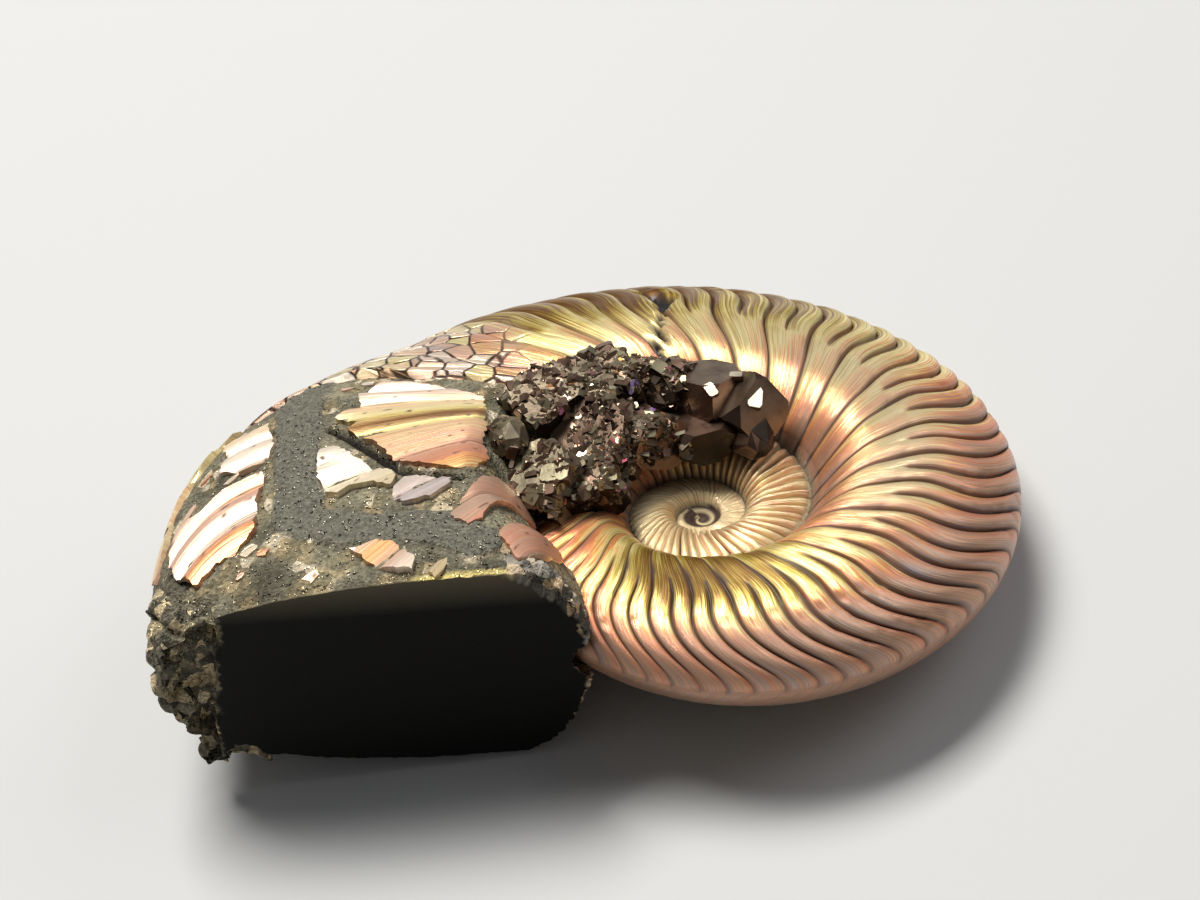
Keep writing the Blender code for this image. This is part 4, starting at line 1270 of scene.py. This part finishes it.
crumbs = [lay_plate("shell_edge_strip", ragged_outline(EDGE_STRIP, random.Random(2)), EDGE_BANDS)]
for crumb_number, (angle, share, across) in enumerate(CRUMBS):
    chooser = random.Random(crumb_number)
    outline = []
    for k in range(CRUMB_CORNERS):
        turn = 2.0 * math.pi * k / CRUMB_CORNERS + chooser.uniform(-0.3, 0.3)
        far = across * CRUMB_DEGREES * chooser.uniform(0.5, 1.0)
        outline.append((angle + far * math.cos(turn), share + far * math.sin(turn) * CRUMB_SHARE))
    tint = CRUMB_TINTS[crumb_number % len(CRUMB_TINTS)]
    bands = [(end, *tint) for end in (500.0, 600.0)]
    crumbs.append(lay_plate(f"shell_crumb_{crumb_number}", outline, bands, CRUMB_RIBS, CRUMB_TOP))
for crumb in crumbs:
    crumb.data.materials.append(flake_finish)
    crumb.data.set_sharp_from_angle(angle=FLAKE_SHARP)
    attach(crumb, "root")


# The crystals: pyrite that grew over the umbilicus after the shell was buried, a few
# large blocks with flat faces, frosted by some two thousand small crystals. They are
# brown to black and metallic, with a few faces tarnished gold, red and violet. Faces
# that hang downwards are painted black as shade, and a few faces turned to the light
# are painted white as highlights.

# Blocks: centre, then half sizes. The first and the last are rounder than the others.
BLOCKS = (
    ((-13.3, 1.4, 7.2), (1.7, 1.9, 1.6)), ((-10.6, 5.6, 6.8), (3.1, 2.9, 2.2)),
    ((-6.7, 7.2, 6.6), (3.3, 3.1, 2.5)), ((-2.7, 8.0, 6.2), (3.2, 2.9, 2.3)),
    ((0.8, 6.9, 6.0), (2.9, 2.9, 2.3)), ((3.5, 5.8, 5.2), (2.6, 2.6, 2.5)),
    ((-7.0, 2.9, 5.2), (3.5, 3.2, 2.6)), ((-10.6, -0.6, 4.6), (2.8, 2.9, 2.5)),
    ((-7.6, -0.2, 4.2), (2.7, 2.6, 2.3)), ((-3.8, 4.1, 5.0), (2.9, 2.9, 2.2)),
    ((0.2, 4.7, 4.4), (2.6, 2.5, 1.8)), ((3.9, 4.4, 4.0), (2.0, 2.2, 1.9)),
)
BLOCK_FILL = 0.80
BLOCK_TINTS = (0.46, 0.28, 0.24, 0.18, 0.14, 0.16, 0.26, 0.40, 0.34, 0.28, 0.04, 0.10)
BLOCK_TILT = 0.5
BLOCK_CHOP = 0.58
ROUND_BLOCKS = (0, 11)
ROUND_FILL = 0.95
ROUND_POINTS = 60
# Small crystals: how many are tried, and on which blocks; sizes, and how they lie.
DRUSE = 2100
DRUSE_BLOCKS = (1, 2, 2, 3, 3, 6, 6, 7, 8, 8, 9, 9)
DRUSE_SIZE = (0.15, 0.58)
DRUSE_SUNK = 0.60
DRUSE_END = -0.4
DRUSE_TILT = 0.7
DRUSE_CHOP = 0.35
DRUSE_TINTS = (0.06, 0.50)
# Single faces, some tarnished violet, red and grey-green, some painted white and pink as highlights: x and
# y, size across, tint, how far turned up to the light.
TARNISH_AND_PAINTED_GLINTS = (
    (4.2, 4.6, 0.80, 0.84, 1.2), (3.0, 6.4, 0.45, 0.82, 1.2), (1.1, 4.5, 0.55, 0.87, 1.2),
    (-3.3, 4.8, 0.45, 1.0, 0.6), (-2.0, 6.2, 0.40, 0.97, 0.3), (-4.9, 7.5, 0.36, 0.94, 0.3),
    (-4.3, 6.6, 0.26, 0.93, 0.3), (-10.0, -2.0, 1.05, 0.66, 0.0), (-6.1, -0.7, 0.60, 0.72, 0.0),
    (-8.2, 0.4, 0.42, 0.88, 0.6), (-9.4, 1.0, 0.30, 0.84, 1.2), (-9.0, 4.2, 0.30, 0.88, 0.6),
)
GLINT_SHAPE = (1.0, 0.65, 0.40)
GLINT_SUNK = 0.25
GLINT_CHOP = 0.28
LIT = (-0.08, -0.23, 0.97)
TARNISH_AND_GLINT_TINTS = (0.80, 1.0)
BRIGHT_SHARE = 0.03
DULL_TINT_MOST = 0.78
TINT_SPREAD = 0.16


def cut_crystal(centre, sizes, turn, chop, chooser):
    """Block crystal: a box with its corners cut off, no two alike."""
    spots = []
    for corner in ((x, y, z) for x in (-1, 1) for y in (-1, 1) for z in (-1, 1)):
        cut = chop * chooser.uniform(0.5, 1.3)
        for axis in range(3):
            spot = Vector(corner)
            spot[axis] *= 1.0 - cut
            spots.append(Vector(centre) + turn @ Vector([a * s for a, s in zip(spot, sizes)]))
    return hull(spots)


def any_turn(chooser, most):
    """Turn about three axes, by up to the given angle on two of them."""
    return (Matrix.Rotation(chooser.uniform(-math.pi, math.pi), 3, 'Z')
            @ Matrix.Rotation(chooser.uniform(-most, most), 3, 'X')
            @ Matrix.Rotation(chooser.uniform(-most, most), 3, 'Y'))


def face_tint(base, bright, chooser):
    """Tint of one crystal face: mostly near its crystal's own, now and then a bright one, among them
    tarnish colours and painted white highlights.
    """
    if chooser.random() < bright:
        return chooser.uniform(*TARNISH_AND_GLINT_TINTS)
    return min(DULL_TINT_MOST, max(0.0, base + chooser.uniform(-TINT_SPREAD, TINT_SPREAD)))


def build_crystals():
    chooser = random.Random(23)
    points, faces, tints = [], [], []

    def place(solid, tint, bright=0.0):
        corners, sides = add_solid(points, faces, solid)
        for side in sides:
            # Faces that hang downwards take the darkest tint, a painted shade under the crystals.
            hanging_in_painted_shade = geometry.normal([Vector(corners[i]) for i in side]).z < -0.05
            tints.append(0.0 if hanging_in_painted_shade else face_tint(tint, bright, chooser))

    for number, (centre, sizes) in enumerate(BLOCKS):
        if number in ROUND_BLOCKS:
            solid = lump(centre, [ROUND_FILL * s for s in sizes], chooser, ROUND_POINTS)
        else:
            fill = [BLOCK_FILL * s for s in sizes]
            solid = cut_crystal(centre, fill, any_turn(chooser, BLOCK_TILT), BLOCK_CHOP, chooser)
        place(solid, BLOCK_TINTS[number])
    mass = BVHTree.FromPolygons(points, faces)
    for _ in range(DRUSE):
        number = chooser.choice(DRUSE_BLOCKS)
        a = chooser.uniform(0.0, 2.0 * math.pi)
        z = chooser.uniform(-0.2, 1.0)
        ring = math.sqrt(1.0 - z * z)
        outward = Vector((ring * math.cos(a), ring * math.sin(a), z))
        spot, normal, _, _ = mass.ray_cast(Vector(BLOCKS[number][0]) + outward * 12.0, -outward)
        if spot is None or spot.x > DRUSE_END:
            continue
        size = DRUSE_SIZE[0] + (DRUSE_SIZE[1] - DRUSE_SIZE[0]) * chooser.random() ** 2.2
        sizes = (size, size * chooser.uniform(0.5, 1.0), size * chooser.uniform(0.35, 0.9))
        lying = normal.to_track_quat('Z', 'Y').to_matrix() @ any_turn(chooser, DRUSE_TILT)
        solid = cut_crystal(spot - normal * size * DRUSE_SUNK, sizes, lying, DRUSE_CHOP, chooser)
        place(solid, chooser.uniform(*DRUSE_TINTS), BRIGHT_SHARE)
    for x, y, size, tint, turned in TARNISH_AND_PAINTED_GLINTS:
        spot, normal, _, _ = mass.ray_cast(Vector((x, y, 20.0)), Vector((0.0, 0.0, -1.0)))
        lying = (normal + turned * Vector(LIT)).to_track_quat('Z', 'Y').to_matrix()
        lying = lying @ Matrix.Rotation(chooser.uniform(0.0, 3.0), 3, 'Z')
        sizes = [size * s for s in GLINT_SHAPE]
        glint = cut_crystal(spot - GLINT_SUNK * size * lying.col[2], sizes, lying, GLINT_CHOP, chooser)
        corners, sides = add_solid(points, faces, glint)
        # The top face of each takes its tint, its sides a darker one as painted shade.
        for side in sides:
            raised = geometry.normal([Vector(corners[i]) for i in side]).dot(lying.col[2]) > 0.9
            tints.append(tint if raised else 0.2)
    piece = make_piece("crystals", np.array(points), faces, {}, smooth=False)
    tint_of_faces = piece.data.attributes.new("tint", 'FLOAT', 'FACE')
    tint_of_faces.data.foreach_set("value", np.array(tints, dtype=np.float32))
    return piece


# Tints from near-black through brown and olive to white, pink, orange, red and violet: the near-black stop
# is also the painted shade of hanging faces, and the near-white stop is a painted highlight.
TARNISH_AND_PAINTED_LIGHT = (
    (0.00, (0.022, 0.014, 0.009)), (0.18, (0.17, 0.105, 0.075)), (0.38, (0.19, 0.165, 0.115)),
    (0.60, (0.25, 0.235, 0.15)), (0.78, (0.36, 0.33, 0.22)), (0.84, (0.85, 0.80, 0.66)),
    (0.90, (0.78, 0.62, 0.52)), (0.94, (0.80, 0.34, 0.08)), (0.97, (0.50, 0.10, 0.16)),
    (1.0, (0.45, 0.32, 0.75)),
)
CLOUDS = ((0.35, (0.60, 0.52, 0.48)), (0.62, (1.25, 1.20, 1.15)))


def pyrite_finish():
    """Tarnished metal, clouded and faintly uneven, with painted shade and painted highlights in its face
    tints.
    """
    finish, tree, shader = new_finish("pyrite")
    spot = own_place(tree)
    cloud = noise_on(tree, spot, 420.0, 3.0)
    tarnish_and_painted_light = ramp(tree, field(tree, "tint"), TARNISH_AND_PAINTED_LIGHT)
    fine = noise_on(tree, spot, 2600.0, 2.0)
    feed(tree, shader, {
        "Base Color": blend_colour(tree, 1.0, tarnish_and_painted_light, ramp(tree, cloud, CLOUDS), 'MULTIPLY'),
        "Metallic": 0.70,
        "Roughness": plus(tree, 0.18, times(tree, cloud, 0.22)),
        "Normal": fine_relief(tree, fine, 0.2, 0.00006),
    })
    return finish


crystals = build_crystals()
crystals.data.materials.append(pyrite_finish())
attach(crystals, "root")
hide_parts("pyrite_crystals")


# The photographer's table: a plain pale floor, one large soft light from behind and
# above that rakes along the ribs, a weaker one in front, and the camera.
FLOOR_SIZE = 3.0
FLOOR_COLOUR = (0.46, 0.46, 0.455)
CAMERA_AT = (10.839, -115.881, 119.823)
CAMERA_TURN = (46.4771, 7.5561, -2.178)
CAMERA_LENS = 66.70
LIGHTS = (
    ("key", (-0.13, 0.20, 0.62), (0.34, 0.22), 6.9, (1.0, 0.985, 0.95)),
    ("fill", (0.45, 0.10, 0.50), (0.40, 0.40), 1.0, (0.95, 0.97, 1.0)),
)
SKY = (0.17, 0.173, 0.18)

floor_mesh = bpy.data.meshes.new("floor")
half = FLOOR_SIZE / 2
floor_mesh.from_pydata([(-half, -half, 0.0), (half, -half, 0.0), (half, half, 0.0), (-half, half, 0.0)],
                       [], [(0, 1, 2, 3)])
floor = bpy.data.objects.new("floor", floor_mesh)
bpy.context.scene.collection.objects.link(floor)
floor_finish, floor_tree, floor_shader = new_finish("floor")
floor_shader.inputs["Base Color"].default_value = (*FLOOR_COLOUR, 1.0)
floor_shader.inputs["Roughness"].default_value = 0.7
floor_mesh.materials.append(floor_finish)

for light_name, place, size, power, colour in LIGHTS:
    lamp = bpy.data.lights.new(light_name, 'AREA')
    lamp.shape = 'RECTANGLE'
    lamp.size, lamp.size_y = size
    lamp.energy = power
    lamp.color = colour
    holder = bpy.data.objects.new(light_name, lamp)
    holder.location = place
    holder.rotation_euler = (-Vector(place)).to_track_quat('-Z', 'Y').to_euler()
    bpy.context.scene.collection.objects.link(holder)

world = bpy.data.worlds.new("studio")
world.use_nodes = True
world.node_tree.nodes["Background"].inputs[0].default_value = (*SKY, 1.0)
bpy.context.scene.world = world
bpy.context.scene.view_settings.view_transform = 'Standard'

camera = bpy.data.objects.new("camera", bpy.data.cameras.new("camera"))
camera.location = Vector(CAMERA_AT) * MM
camera.rotation_euler = [math.radians(a) for a in CAMERA_TURN]
camera.data.lens = CAMERA_LENS
camera.data.clip_start = MM
bpy.context.scene.collection.objects.link(camera)
bpy.context.scene.camera = camera
